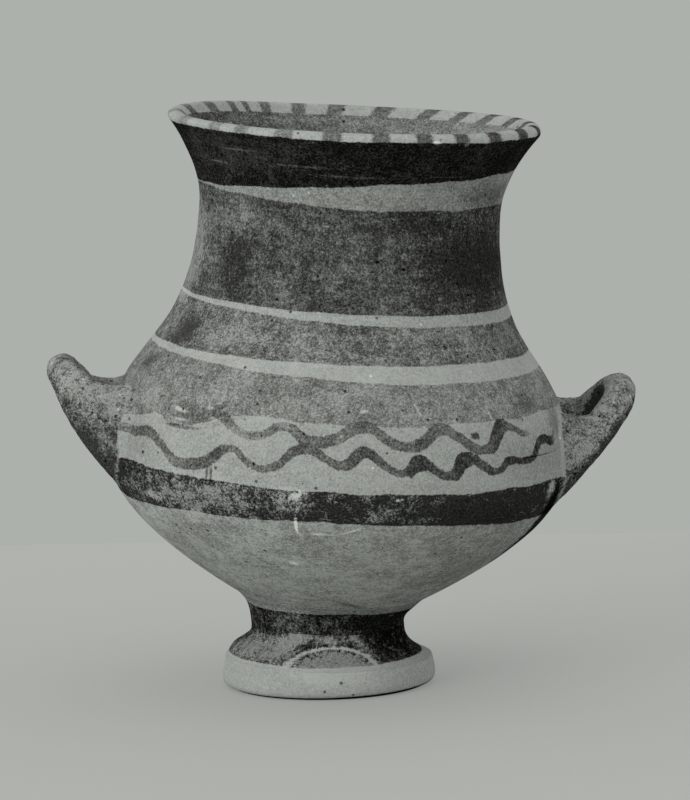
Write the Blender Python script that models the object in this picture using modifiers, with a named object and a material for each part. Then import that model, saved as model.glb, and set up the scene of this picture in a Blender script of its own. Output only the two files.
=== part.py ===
"""Amphoriskos: a small two-handled pot on a foot, built from the clay pieces that a potter lutes together.

Metres, +Z up, +X towards the right handle. The foot stands level on Z = 0. The body above it leans a few
degrees towards +X, and the handles and their root pads lean with it. The origin is on the standing plane,
under the middle of the pot's greatest width.

Run it with: blender --background --python part.py
"""

import math

import bmesh
import bpy
from mathutils import Matrix, Vector

# Foot: a level turned disc with a short stem
FOOT_RADIUS = 0.0284
FOOT_BASE_RADIUS = 0.0268
FOOT_EDGE_RADIUS = 0.0274
FOOT_EDGE_HEIGHT = 0.0070
FOOT_EDGE_ROUND = 0.0008
FOOT_BULGE_LOW = 0.0010
FOOT_BULGE_HIGH = 0.0028
STEM_WAIST_RADIUS = 0.0202
STEM_WAIST_HEIGHT = 0.0148
STEM_TOP_RADIUS = 0.0195
STEM_SPREAD = 0.0039

# Shallow hollow under the foot, inside the ring that the pot stands on
STANDING_RING_WIDTH = 0.0064
HOLLOW_DEPTH = 0.0068
HOLLOW_CROWN = 0.0102
HOLLOW_EDGE_LEAN = 0.0020
HOLLOW_EDGE_RISE = 0.0041

# Where the bowl sits on the foot, how far it is off the foot's centre, and how far it leans towards +X
SEAT_HEIGHT = 0.0176
BODY_OFFSET = 0.0004
LEAN = math.radians(4.3)

# Body: heights are above the standing plane, measured along the leaning axis
BOWL_FOOT_RADIUS = 0.0228
BOWL_FOOT_HEIGHT = 0.0228
BOWL_FOOT_SLOPE = math.radians(29.0)
BELLY_RADIUS = 0.0606
BELLY_HEIGHT = 0.0596
NECK_RADIUS = 0.0394
NECK_HEIGHT = 0.1262
LIP_RADIUS = 0.0487
POT_HEIGHT = 0.1504
LIP_ROUND = 0.0021
LIP_SLOPE = math.radians(50)

# How full each curve of the body is: the length of its tangents
BOWL_LOWER_FULLNESS = 0.0311
BOWL_UPPER_FULLNESS = 0.0089
SHOULDER_LOWER_FULLNESS = 0.0328
SHOULDER_UPPER_FULLNESS = 0.0422
FLARE_LOWER_FULLNESS = 0.0090
FLARE_UPPER_FULLNESS = 0.0028

# Wall of the body
WALL = 0.0040
FLOOR_THICKNESS = 0.0055

# Handles: rolled rods, each a loop that rises from the belly
HANDLE_RADIUS = 0.0044
HANDLE_ROOT_RADIUS = 0.0050
HANDLE_HALF_SPAN = 0.0150
HANDLE_ROOT_HEIGHT = 0.0622
HANDLE_SQUARENESS = 2.3
HANDLE_SWEEP = 0.0012
LEFT_REACH = 0.0126
LEFT_RISE = 0.0178
RIGHT_REACH = 0.0130
RIGHT_RISE = 0.0186

# Root pads: soft clay smeared from the belly up each handle's ends, and further up on the upper side
PAD_RISE = 0.0012
PAD_HALF_HEIGHT = 0.0150
PAD_HALF_WIDTH = 0.0084
PAD_LENGTH = 0.0100
PAD_SLANT = 0.0045
PAD_TOP_FILL = 0.75
PAD_LIP = 0.0006
PAD_SINK = 0.0012

# Luting ring: soft clay pressed into the groove over the stem
RING_HEIGHT = 0.0056
RING_THICKNESS = 0.0007
RING_SPREAD = 0.0060
RING_RISE = 0.0025
RING_CURL = 0.0040

# Slip-filled clearance between luted pieces
JOINT_GAP = 0.0003

# Facets
TURN_STEPS = 56
CURVE_POINTS = 9
LIP_POINTS = 7
HANDLE_POINTS = 28
HANDLE_BEVEL_RESOLUTION = 3
PAD_SIDES = 24
PAD_RINGS = 6
MERGE_DISTANCE = 0.00001

# Clay and slip colours (linear RGB) and roughness
PALE_CLAY = (0.36, 0.37, 0.34)
WORN_SLIP = (0.15, 0.155, 0.145)
DARK_SLIP = (0.05, 0.052, 0.047)
CLAY_ROUGHNESS = 0.75
SLIP_ROUGHNESS = 0.6


def clear_scene():
    """Remove every object, so that the script gives the same model wherever it is run."""
    for old in list(bpy.data.objects):
        bpy.data.objects.remove(old, do_unlink=True)


def new_collection(name):
    collection = bpy.data.collections.new(name)
    bpy.context.scene.collection.children.link(collection)
    return collection


def clay_material(name, colour, roughness):
    material = bpy.data.materials.new(name)
    material.use_nodes = True
    shader = material.node_tree.nodes["Principled BSDF"]
    shader.inputs["Base Color"].default_value = (*colour, 1.0)
    shader.inputs["Roughness"].default_value = roughness
    shader.inputs["Metallic"].default_value = 0.0
    material.diffuse_color = (*colour, 1.0)
    return material


def add_object(name, data, collection, parent, material=None):
    piece = bpy.data.objects.new(name, data)
    collection.objects.link(piece)
    piece.parent = parent
    if material is not None:
        data.materials.append(material)
    return piece


def hide_cutter(cutter):
    cutter.hide_render = True
    cutter.display_type = "WIRE"


def cut(piece, cutter):
    """Take the cutter's space out of the piece."""
    boolean = piece.modifiers.new("cut_by_" + cutter.name, "BOOLEAN")
    boolean.operation = "DIFFERENCE"
    boolean.solver = "EXACT"
    boolean.object = cutter


# Curves in the (radius, height) plane

def bezier(start, start_pull, end_pull, end, count):
    """Points of a cubic curve from start to end, both included."""
    points = []
    for step in range(count + 1):
        t = step / count
        s = 1.0 - t
        points.append(
            s ** 3 * Vector(start)
            + 3 * s * s * t * Vector(start_pull)
            + 3 * s * t * t * Vector(end_pull)
            + t ** 3 * Vector(end)
        )
    return points


def lip_centre():
    """Centre of the rounded lip, which touches the pot's full height and the lip's full radius."""
    return Vector((LIP_RADIUS - LIP_ROUND, POT_HEIGHT - LIP_ROUND))


def lip_point(angle):
    return lip_centre() + LIP_ROUND * Vector((math.cos(angle), math.sin(angle)))


def bowl_underside():
    """The bowl's bottom, from its centre out to where the visible bowl begins."""
    end = Vector((BOWL_FOOT_RADIUS, BOWL_FOOT_HEIGHT))
    pull = BOWL_FOOT_RADIUS / 3
    direction = Vector((math.cos(BOWL_FOOT_SLOPE), math.sin(BOWL_FOOT_SLOPE)))
    return bezier((0, SEAT_HEIGHT), (pull, SEAT_HEIGHT), end - pull * direction, end, CURVE_POINTS // 2)


def bowl_curve():
    start = Vector((BOWL_FOOT_RADIUS, BOWL_FOOT_HEIGHT))
    direction = Vector((math.cos(BOWL_FOOT_SLOPE), math.sin(BOWL_FOOT_SLOPE)))
    end = Vector((BELLY_RADIUS, BELLY_HEIGHT))
    start_pull = start + BOWL_LOWER_FULLNESS * direction
    return bezier(start, start_pull, end - Vector((0, BOWL_UPPER_FULLNESS)), end, CURVE_POINTS)


def shoulder_curve():
    start = Vector((BELLY_RADIUS, BELLY_HEIGHT))
    end = Vector((NECK_RADIUS, NECK_HEIGHT))
    return bezier(
        start,
        start + Vector((0, SHOULDER_LOWER_FULLNESS)),
        end - Vector((0, SHOULDER_UPPER_FULLNESS)),
        end,
        CURVE_POINTS + 2,
    )


def flare_curve():
    """The neck's flare, which runs into the rounded lip at the lip's slope."""
    start = Vector((NECK_RADIUS, NECK_HEIGHT))
    end = lip_point(LIP_SLOPE - math.pi / 2)
    direction = Vector((math.cos(LIP_SLOPE), math.sin(LIP_SLOPE)))
    start_pull = start + Vector((0, FLARE_LOWER_FULLNESS))
    return bezier(start, start_pull, end - FLARE_UPPER_FULLNESS * direction, end, CURVE_POINTS // 2)


def outer_profile():
    """The body's outside, from the centre of its bottom up to the lip."""
    return bowl_underside() + bowl_curve()[1:] + shoulder_curve()[1:] + flare_curve()[1:]


def lip_profile():
    """The rounded lip, from the outer flare over the crest to the inner wall."""
    start = LIP_SLOPE - math.pi / 2
    return [lip_point(start + math.pi * step / LIP_POINTS) for step in range(1, LIP_POINTS)]


def offset_inwards(points, thickness_at):
    """Points moved square to the curve, towards the pot's inside."""
    moved = []
    last = len(points) - 1
    for index, point in enumerate(points):
        along = points[min(index + 1, last)] - points[max(index - 1, 0)]
        along.normalize()
        moved.append(point + thickness_at(point) * Vector((-along.y, along.x)))
    return moved


def wall_thickness(point):
    """The wall is even above the belly and thickens towards the middle of the floor."""
    if point.y > BELLY_HEIGHT:
        return WALL
    share = min(point.x / BELLY_RADIUS, 1.0)
    return FLOOR_THICKNESS + (WALL - FLOOR_THICKNESS) * share


def inner_profile():
    """The body's inside, from the centre of its floor up to the lip."""
    points = offset_inwards(outer_profile(), wall_thickness)
    floor_centre = Vector((0, SEAT_HEIGHT + FLOOR_THICKNESS))
    return [floor_centre] + points[2:-1:2] + points[-1:]


def outer_radius(height):
    """Radius of the body's outside at a height above its seat, read between the profile's points."""
    profile = [point for point in outer_profile() if point.y >= SEAT_HEIGHT]
    for low, high in zip(profile, profile[1:]):
        if low.y <= height <= high.y and high.y > low.y:
            return low.x + (high.x - low.x) * (height - low.y) / (high.y - low.y)
    return profile[-1].x


# Turned pieces

def turned(name, profile, base_height, collection, parent, material=None, ring=False):
    """A solid of revolution whose profile runs up its inside and down its outside.

    The profile of a ring is a closed section; any other profile starts and ends on the axis.
    """
    mesh = bpy.data.meshes.new(name)
    points = [(point[0], 0.0, point[1] - base_height) for point in profile]
    edges = [(index, index + 1) for index in range(len(points) - 1)]
    if ring:
        edges.append((len(points) - 1, 0))
    mesh.from_pydata(points, edges, [])
    piece = add_object(name, mesh, collection, parent, material)
    screw = piece.modifiers.new("turn", "SCREW")
    screw.axis = "Z"
    screw.steps = TURN_STEPS
    screw.render_steps = TURN_STEPS
    screw.use_merge_vertices = True
    screw.merge_threshold = MERGE_DISTANCE
    screw.use_smooth_shade = True
    return piece


def build_body(collection, parent, material):
    profile = inner_profile() + lip_profile()[::-1] + outer_profile()[::-1]
    return turned("body", profile, SEAT_HEIGHT, collection, parent, material)


def build_seat_cutter(collection, parent):
    """The body's full outside with the joint gap added: it shapes everything that is luted to the body."""
    outside = outer_profile() + lip_profile()
    grown = offset_inwards(outside, lambda point: -JOINT_GAP)
    grown[0] = Vector((0, SEAT_HEIGHT - JOINT_GAP))
    top = Vector((0, grown[-1].y))
    cutter = turned("body_seat_cutter", [top] + grown[::-1], SEAT_HEIGHT, collection, parent)
    hide_cutter(cutter)
    return cutter


def stem_top_height():
    """The stem and its ring reach past the leaning bowl before the bowl's seat is cut into them."""
    return BOWL_FOOT_HEIGHT + BOWL_FOOT_RADIUS * math.sin(LEAN)


def build_foot(collection, parent, material, seat_cutter):
    hollow_radius = FOOT_BASE_RADIUS - STANDING_RING_WIDTH
    hollow = bezier(
        (0, HOLLOW_DEPTH),
        (HOLLOW_CROWN, HOLLOW_DEPTH),
        (hollow_radius - HOLLOW_EDGE_LEAN, HOLLOW_EDGE_RISE),
        (hollow_radius, 0),
        CURVE_POINTS // 2,
    )
    edge = Vector((FOOT_EDGE_RADIUS, FOOT_EDGE_HEIGHT - FOOT_EDGE_ROUND))
    edge_top = Vector((FOOT_EDGE_RADIUS - FOOT_EDGE_ROUND, FOOT_EDGE_HEIGHT))
    side = bezier(
        (FOOT_BASE_RADIUS, 0),
        (FOOT_RADIUS, FOOT_BULGE_LOW),
        (FOOT_RADIUS, FOOT_BULGE_HIGH),
        edge,
        CURVE_POINTS // 2,
    )
    waist = Vector((STEM_WAIST_RADIUS, STEM_WAIST_HEIGHT))
    slope_start = edge_top + Vector((-STEM_SPREAD, STEM_SPREAD / 2))
    slope = bezier(edge_top, slope_start, waist - Vector((0, STEM_SPREAD)), waist, CURVE_POINTS // 2)
    ring_base = Vector((STEM_TOP_RADIUS, ring_bottom_height() + RING_THICKNESS))
    top = stem_top_height()
    outside = side + slope + [ring_base, Vector((STEM_TOP_RADIUS, top)), Vector((0, top))]
    foot = turned("foot", outside[::-1] + hollow[::-1], 0.0, collection, parent, material)
    cut(foot, seat_cutter)
    return foot


def ring_bottom_height():
    return BOWL_FOOT_HEIGHT - RING_HEIGHT


def build_foot_ring(collection, parent, material, seat_cutter):
    """A concave fillet of clay round the stem's top, up to the leaning bowl."""
    inner = STEM_TOP_RADIUS + JOINT_GAP
    bottom = ring_bottom_height() + RING_THICKNESS + JOINT_GAP
    top = stem_top_height() + RING_THICKNESS
    low = Vector((inner + RING_THICKNESS, bottom))
    high = Vector((inner + RING_SPREAD, top))
    pull_down = Vector((RING_CURL, RING_CURL / 2))
    outside = bezier(low, low + Vector((0, RING_RISE)), high - pull_down, high, CURVE_POINTS // 2)
    section = [Vector((inner, bottom)), Vector((inner, top))] + outside[::-1]
    ring = turned("foot_luting_ring", section, 0.0, collection, parent, material, ring=True)
    cut(ring, seat_cutter)
    return ring


# Handles

def handle_spine(side, reach, rise, length_share, across):
    """A point of a handle's centre line, in the leaning body's own frame.

    length_share runs from 0 at the belly to 1 at the loop's tip. across is the point's place from -1 at the
    front root to 1 at the back root.
    """
    belly = outer_radius(HANDLE_ROOT_HEIGHT)
    root = Vector((math.sqrt(belly ** 2 - HANDLE_HALF_SPAN ** 2), HANDLE_ROOT_HEIGHT))
    tip = Vector((belly + reach, HANDLE_ROOT_HEIGHT + rise))
    sag = Vector((HANDLE_SWEEP, -HANDLE_SWEEP))
    middle = (root + tip) / 2 + sag
    t = length_share
    place = (1 - t) ** 2 * root + 2 * t * (1 - t) * middle + t * t * tip
    return Vector((side * place.x, across * HANDLE_HALF_SPAN, place.y - SEAT_HEIGHT))


def loop_point(side, reach, rise, turn):
    """A point of the loop as turn goes from 0 at the front root to 1 at the back root."""
    angle = math.pi * turn
    power = 2 / HANDLE_SQUARENESS
    across = -math.copysign(abs(math.cos(angle)) ** power, math.cos(angle))
    return handle_spine(side, reach, rise, math.sin(angle) ** power, across)


def handle_path(side, reach, rise):
    """The loop's points with even spacing in turn, and one point inside the wall at each end."""
    points = [loop_point(side, reach, rise, step / HANDLE_POINTS) for step in range(HANDLE_POINTS + 1)]
    first = points[0] + (points[0] - points[1]).normalized() * WALL
    last = points[-1] + (points[-1] - points[-2]).normalized() * WALL
    return [first] + points + [last]


def path_lengths(points):
    """Distance of each point along the path from its first root point, which is the second point."""
    lengths = [0.0]
    for near, far in zip(points, points[1:]):
        lengths.append(lengths[-1] + (far - near).length)
    return [length - lengths[1] for length in lengths]


def rod_radius(distance, total):
    """The rod thickens over its last stretch towards each root."""
    to_root = max(0.0, min(distance, total - distance))
    share = max(0.0, 1.0 - to_root / PAD_LENGTH)
    return HANDLE_RADIUS + (HANDLE_ROOT_RADIUS - HANDLE_RADIUS) * share


def rod(name, points, extra_radius, collection, parent, material=None):
    """A round rod along the points, as a closed mesh in its parent's frame."""
    curve = bpy.data.curves.new(name + "_curve", "CURVE")
    curve.dimensions = "3D"
    curve.bevel_depth = 1.0
    curve.bevel_resolution = HANDLE_BEVEL_RESOLUTION
    curve.use_fill_caps = True
    spline = curve.splines.new("POLY")
    spline.points.add(len(points) - 1)
    lengths = path_lengths(points)
    total = lengths[-2]
    for knot, point, distance in zip(spline.points, points, lengths):
        knot.co = (*point, 1.0)
        knot.radius = rod_radius(distance, total) + extra_radius
    guide = add_object(name + "_guide", curve, collection, parent)
    bpy.context.view_layer.update()
    evaluated = guide.evaluated_get(bpy.context.evaluated_depsgraph_get())
    mesh = bpy.data.meshes.new_from_object(evaluated)
    mesh.name = name
    bpy.data.objects.remove(guide, do_unlink=True)
    shape = bmesh.new()
    shape.from_mesh(mesh)
    bmesh.ops.remove_doubles(shape, verts=shape.verts, dist=MERGE_DISTANCE)
    bmesh.ops.recalc_face_normals(shape, faces=shape.faces)
    shape.to_mesh(mesh)
    shape.free()
    mesh.materials.clear()
    mesh.shade_smooth()
    return add_object(name, mesh, collection, parent, material)


def rod_surface(points, lengths, distance, angle):
    """A point just outside the rod, at a distance along it and an angle round it."""
    index = next(place for place, length in enumerate(lengths) if length >= distance)
    share = (distance - lengths[index - 1]) / (lengths[index] - lengths[index - 1])
    centre = points[index - 1].lerp(points[index], share)
    along = (points[index] - points[index - 1]).normalized()
    level = Vector((0, 0, 1)).cross(along).normalized()
    upper = along.cross(level)
    radius = rod_radius(distance, lengths[-2]) + JOINT_GAP + PAD_LIP
    return centre + radius * (level * math.cos(angle) + upper * math.sin(angle))


def pad_rings(side, points):
    """Rings of a root pad, from its sunk footprint on the belly to its lip on the rod.

    Each side line of the pad is a quadratic curve that leaves the belly, bends and runs out along the rod.
    The lines under the rod bend at its root; the higher ones are filled out into a web.
    """
    lengths = path_lengths(points)
    root = points[1]
    azimuth = math.atan2(root.y, side * root.x)
    turn_sign = Vector((0, 0, 1)).cross(points[2] - root).y
    rings = [[] for _ in range(PAD_RINGS + 1)]
    for step in range(PAD_SIDES):
        angle = 2 * math.pi * step / PAD_SIDES
        height = root.z + SEAT_HEIGHT + PAD_RISE + PAD_HALF_HEIGHT * math.sin(angle)
        radius = outer_radius(height) - PAD_SINK
        turned_by = azimuth + math.copysign(PAD_HALF_WIDTH, turn_sign) * math.cos(angle) / radius
        out = side * radius * math.cos(turned_by)
        foot = Vector((out, radius * math.sin(turned_by), height - SEAT_HEIGHT))
        lip = rod_surface(points, lengths, PAD_LENGTH + PAD_SLANT * math.sin(angle), angle)
        fill = PAD_TOP_FILL * (1 + math.sin(angle)) / 2
        bend = rod_surface(points, lengths, 0.0, angle).lerp((foot + lip) / 2, fill)
        for ring, loop in enumerate(rings):
            t = ring / PAD_RINGS
            loop.append((1 - t) ** 2 * foot + 2 * t * (1 - t) * bend + t * t * lip)
    return rings


def loft(name, rings, collection, parent, material):
    """A closed solid through rings of unlike shape, capped at both ends."""
    shape = bmesh.new()
    loops = [[shape.verts.new(point) for point in ring] for ring in rings]
    count = len(loops[0])
    for near, far in zip(loops, loops[1:]):
        for index in range(count):
            after = (index + 1) % count
            shape.faces.new((near[index], near[after], far[after], far[index]))
    shape.faces.new(loops[0][::-1])
    shape.faces.new(loops[-1])
    bmesh.ops.recalc_face_normals(shape, faces=shape.faces)
    mesh = bpy.data.meshes.new(name)
    shape.to_mesh(mesh)
    shape.free()
    return add_object(name, mesh, collection, parent, material)


def build_handle(name, side, reach, rise, collections, parent, materials, seat_cutter):
    """One handle and the two pads of clay round its roots."""
    parts, cutters = collections
    slip, clay = materials
    points = handle_path(side, reach, rise)
    handle = rod(name, points, 0.0, parts, parent, slip)
    cut(handle, seat_cutter)
    rod_cutter = rod(name + "_cutter", points, JOINT_GAP, cutters, parent)
    hide_cutter(rod_cutter)
    pieces = [handle]
    for place, path in (("front", points), ("back", points[::-1])):
        pad = loft(name + "_" + place + "_root", pad_rings(side, path), parts, parent, clay)
        cut(pad, seat_cutter)
        cut(pad, rod_cutter)
        pieces.append(pad)
    return pieces


def tip_reach(side, reach, rise):
    """World X of a handle's outermost point from the foot's axis."""
    from_axis = outer_radius(HANDLE_ROOT_HEIGHT) + reach
    above_seat = HANDLE_ROOT_HEIGHT + rise - SEAT_HEIGHT
    return BODY_OFFSET + side * (from_axis * math.cos(LEAN) + HANDLE_RADIUS) + above_seat * math.sin(LEAN)


def add_empty(name, collection, parent=None):
    empty = bpy.data.objects.new(name, None)
    collection.objects.link(empty)
    empty.parent = parent
    return empty


def main():
    clear_scene()
    parts = new_collection("amphoriskos")
    cutters = new_collection("cutters")
    clay = clay_material("pale_fired_clay", PALE_CLAY, CLAY_ROUGHNESS)
    worn_slip = clay_material("worn_slip_on_clay", WORN_SLIP, SLIP_ROUGHNESS)
    dark_slip = clay_material("dark_slip_on_clay", DARK_SLIP, SLIP_ROUGHNESS)

    pot = add_empty("pot", parts)
    left_end = tip_reach(-1, LEFT_REACH, LEFT_RISE)
    right_end = tip_reach(1, RIGHT_REACH, RIGHT_RISE)
    pot.location.x = -(left_end + right_end) / 2
    leaning = add_empty("leaning_body", parts, pot)
    leaning.location = (BODY_OFFSET, 0, SEAT_HEIGHT)
    leaning.rotation_euler = Matrix.Rotation(LEAN, 3, "Y").to_euler()

    build_body(parts, leaning, clay)
    seat_cutter = build_seat_cutter(cutters, leaning)
    build_foot(parts, pot, clay, seat_cutter)
    build_foot_ring(parts, pot, dark_slip, seat_cutter)
    collections = (parts, cutters)
    materials = (worn_slip, clay)
    build_handle("handle_left", -1, LEFT_REACH, LEFT_RISE, collections, leaning, materials, seat_cutter)
    build_handle("handle_right", 1, RIGHT_REACH, RIGHT_RISE, collections, leaning, materials, seat_cutter)


main()
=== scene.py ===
"""Amphoriskos: the fired clay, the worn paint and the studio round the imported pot.

Metres, in the same frame as the CAD: the foot stands on Z = 0 and the body leans towards +X.
"""

import bisect
import math

import bmesh
import bpy
from bpy.props import FloatProperty, FloatVectorProperty, PointerProperty
from mathutils import Matrix, Quaternion, Vector, noise
from mathutils.geometry import interpolate_bezier


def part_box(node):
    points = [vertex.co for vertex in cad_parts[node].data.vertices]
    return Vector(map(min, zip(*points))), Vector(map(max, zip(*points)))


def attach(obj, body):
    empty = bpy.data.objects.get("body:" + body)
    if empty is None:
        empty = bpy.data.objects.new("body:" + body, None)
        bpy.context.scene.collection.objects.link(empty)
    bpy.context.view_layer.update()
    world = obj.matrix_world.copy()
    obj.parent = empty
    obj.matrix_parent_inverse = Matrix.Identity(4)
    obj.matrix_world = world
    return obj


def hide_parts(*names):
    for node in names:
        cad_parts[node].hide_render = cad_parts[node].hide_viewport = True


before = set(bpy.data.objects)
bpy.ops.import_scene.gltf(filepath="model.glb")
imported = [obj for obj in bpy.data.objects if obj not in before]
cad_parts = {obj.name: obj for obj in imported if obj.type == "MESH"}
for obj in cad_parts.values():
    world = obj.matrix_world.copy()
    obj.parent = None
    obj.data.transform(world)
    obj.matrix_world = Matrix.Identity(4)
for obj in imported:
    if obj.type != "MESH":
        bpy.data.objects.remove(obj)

bl_info = {
    "name": "Amphoriskos",
    "version": (1, 0, 0),
    "blender": (4, 5, 0),
    "location": "3D View > Sidebar > Amphoriskos",
    "description": "Builds a small painted two-handled pot on a foot and the studio table that it stands on",
    "category": "Add Mesh",
}

MM = 0.001

# Foot: a level turned disc with a short stem
FOOT_BASE_RADIUS = 0.0260
FOOT_CHAMFER = 0.0006
FOOT_RADIUS = 0.0284
FOOT_EDGE_RADIUS = 0.0274
FOOT_EDGE_HEIGHT = 0.0070
FOOT_EDGE_ROUND = 0.0004
FOOT_BULGE_LOW = 0.0012
FOOT_BULGE_HIGH = 0.0028
FLARE_LIFT = 0.0030
FLARE_LOW = 0.0060
FLARE_TOP = 0.0082
FLARE_END = 0.0170
STEM_WAIST_RADIUS = 0.0202
STEM_WAIST_HEIGHT = 0.0148
STEM_SPREAD = 0.0039
STEM_END_HEIGHT = 0.0190
STANDING_RING_WIDTH = 0.0064
HOLLOW_DEPTH = 0.0068
HOLLOW_CROWN = 0.0102
HOLLOW_EDGE_LEAN = 0.0020
HOLLOW_EDGE_RISE = 0.0041

# Where the bowl sits on the foot, how far it is off the foot's centre, and how far it leans
SEAT_HEIGHT = 0.0176
BODY_OFFSET = 0.0004
LEAN = math.radians(4.3)

# Join: clay pressed into the groove over the stem
JOIN_LOW = 0.0150
JOIN_HIGH = 0.0237
JOIN_RADIUS = 0.0246
JOIN_CORE_RADIUS = 0.0180
JOIN_CORE_HIGH = 0.0216
JOIN_TOP_RADIUS = 0.0230
JOIN_TOP = 0.0250
JOIN_RISE = Vector((0, 0, 0.0042))
JOIN_PULL = Vector((0.0026, 0, 0.0023))

# Body: heights are above the table, measured along the leaning axis
BOWL_FOOT_RADIUS = 0.0228
BOWL_FOOT_HEIGHT = 0.0228
BOWL_FOOT_SLOPE = math.radians(29)
BELLY_RADIUS = 0.0606
BELLY_HEIGHT = 0.0596
NECK_RADIUS = 0.0394
NECK_HEIGHT = 0.1262
LIP_RADIUS = 0.0487
POT_HEIGHT = 0.1504
LIP_ROUND = 0.0021
LIP_SLOPE = math.radians(50)
WALL = 0.0040
FLOOR_THICKNESS = 0.0055

# How full each curve of the body is: the length of its tangents
BOWL_LOWER_FULLNESS = 0.0311
BOWL_UPPER_FULLNESS = 0.0089
SHOULDER_LOWER_FULLNESS = 0.0328
SHOULDER_UPPER_FULLNESS = 0.0422
FLARE_LOWER_FULLNESS = 0.0090
FLARE_UPPER_FULLNESS = 0.0028

# Handles: rolled rods whose roots are smeared over the belly
HANDLE_ROOT_RADIUS = 0.0050
HANDLE_HALF_SPAN = 0.0150
HANDLE_ROOT_HEIGHT = 0.0622
HANDLE_SQUARENESS = 2.3
HANDLE_SWEEP = 0.0012
ROOT_RISE = 0.0002
ROOT_HALF_HEIGHT = 0.0162
ROOT_DROP = 0.0042
ROOT_HALF_WIDTH = 0.0084
ROOT_LENGTH = 0.0100
ROOT_SLANT = 0.0045
ROOT_TOP_FILL = 0.75
ROOT_LOW_FILL = 0.65
ROOT_SPREAD = 0.55
ROOT_SINK = 0.0009
WEB_END = 0.42

# Each handle: its name, side, reach, rise, rod radius, how far a web of clay lifts its front root and its
# back root and fills both from below, how much its paint is rubbed low down and at its tip, the tone of its
# clay there, how dark its underside is, partly painted shade, and how far off the belly its own paint begins,
# in millimetres
HANDLES = (
    ("handle_left", -1, 0.0126, 0.0178, 0.0041, 0.0039, 0.0020, 0.0014, -0.7, 1.1, 0.46, 0.58, 1.2, 1.5),
    ("handle_right", 1, 0.0130, 0.0186, 0.0043, 0.0002, 0.0012, 0.0, 0.2, 0.8, 0.57, 0.57, 1.9, 0.7),
)

# How wide the uneven places of hand work are, and where the lip is pressed down, in degrees from the front
SWELL_WIDTH = 0.040
RIDGE_LENGTH = 0.12
RIDGE_WIDTH = 0.0045
FOOT_SWELL_WIDTH = 0.015
HANDLE_LUMP_WIDTH = 0.008
HANDLE_PIT_WIDTH = 0.0022
PRESS_ANGLE = -65
PRESS_SPREAD = 40

# Mesh fineness
TURN_STEPS = 384
HANDLE_SIDES = 64
ROOT_SECTIONS = 26
ROD_SECTIONS = 90
PATH_POINTS = 160
MERGE_DISTANCE = 0.000001

# Table: width, depth and thickness, where its back edge is, and how far it is turned
TABLE_SIZE = Vector((6.0, 4.235, 0.03))
TABLE_BACK = 0.235
TABLE_TURN = math.radians(-5.8)

# Camera: a long lens 1.35 m off, a little above the pot
PHOTO_WIDTH = 690
FOCAL_PIXELS = 5191.7
SENSOR_WIDTH = 36.0
CAMERA_PLACE = Vector((-0.1007, -1.3484, 0.2605))
CAMERA_AIM = Vector((0.00067, -0.00045, 0.07495))
CAMERA_ROLL = math.radians(-1.393)

# Painted bands of the body, from the lip down: the tone of the full paint, the tone where it is rubbed, how
# much is rubbed, how sharply, then the top edge's height in millimetres, its tilt towards the right, its bow
# towards both sides, and how ragged it is. Tones are sRGB levels from 0 to 1.
BANDS = (
    ("dark_rim_band", 0.05, 0.21, -1.2, 0.30, 147.15, 0.45, 0.45, 0.30),
    ("reserved_band", 0.45, 0.57, 0.3, 0.40, 135.32, 3.44, 0.14, 0.35),
    ("neck_wash", 0.17, 0.43, -0.2, 0.33, 129.06, -0.91, 1.77, 0.45),
    ("upper_line", 0.57, 0.64, 0.0, 0.30, 102.63, -0.16, 0.63, 0.20),
    ("wash_between_lines", 0.26, 0.53, 0.0, 0.35, 100.04, -1.25, 1.27, 0.30),
    ("lower_line", 0.60, 0.66, 0.0, 0.30, 90.48, 0.34, 0.41, 0.25),
    ("shoulder_wash", 0.37, 0.57, 0.0, 0.35, 86.57, -0.97, 1.64, 0.30),
    ("waves_ground", 0.57, 0.63, 0.3, 0.35, 0.0, 0.0, 0.0, 0.25),
    ("belly_band", 0.14, 0.50, -0.9, 0.60, 59.32, -0.08, 1.17, 0.45),
    ("bare_bowl", 0.50, 0.66, 0.1, 0.42, 51.09, 0.26, -1.35, 0.35),
)

# The bands that reach the handles' roots
HANDLE_BANDS = BANDS[6:]

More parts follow.
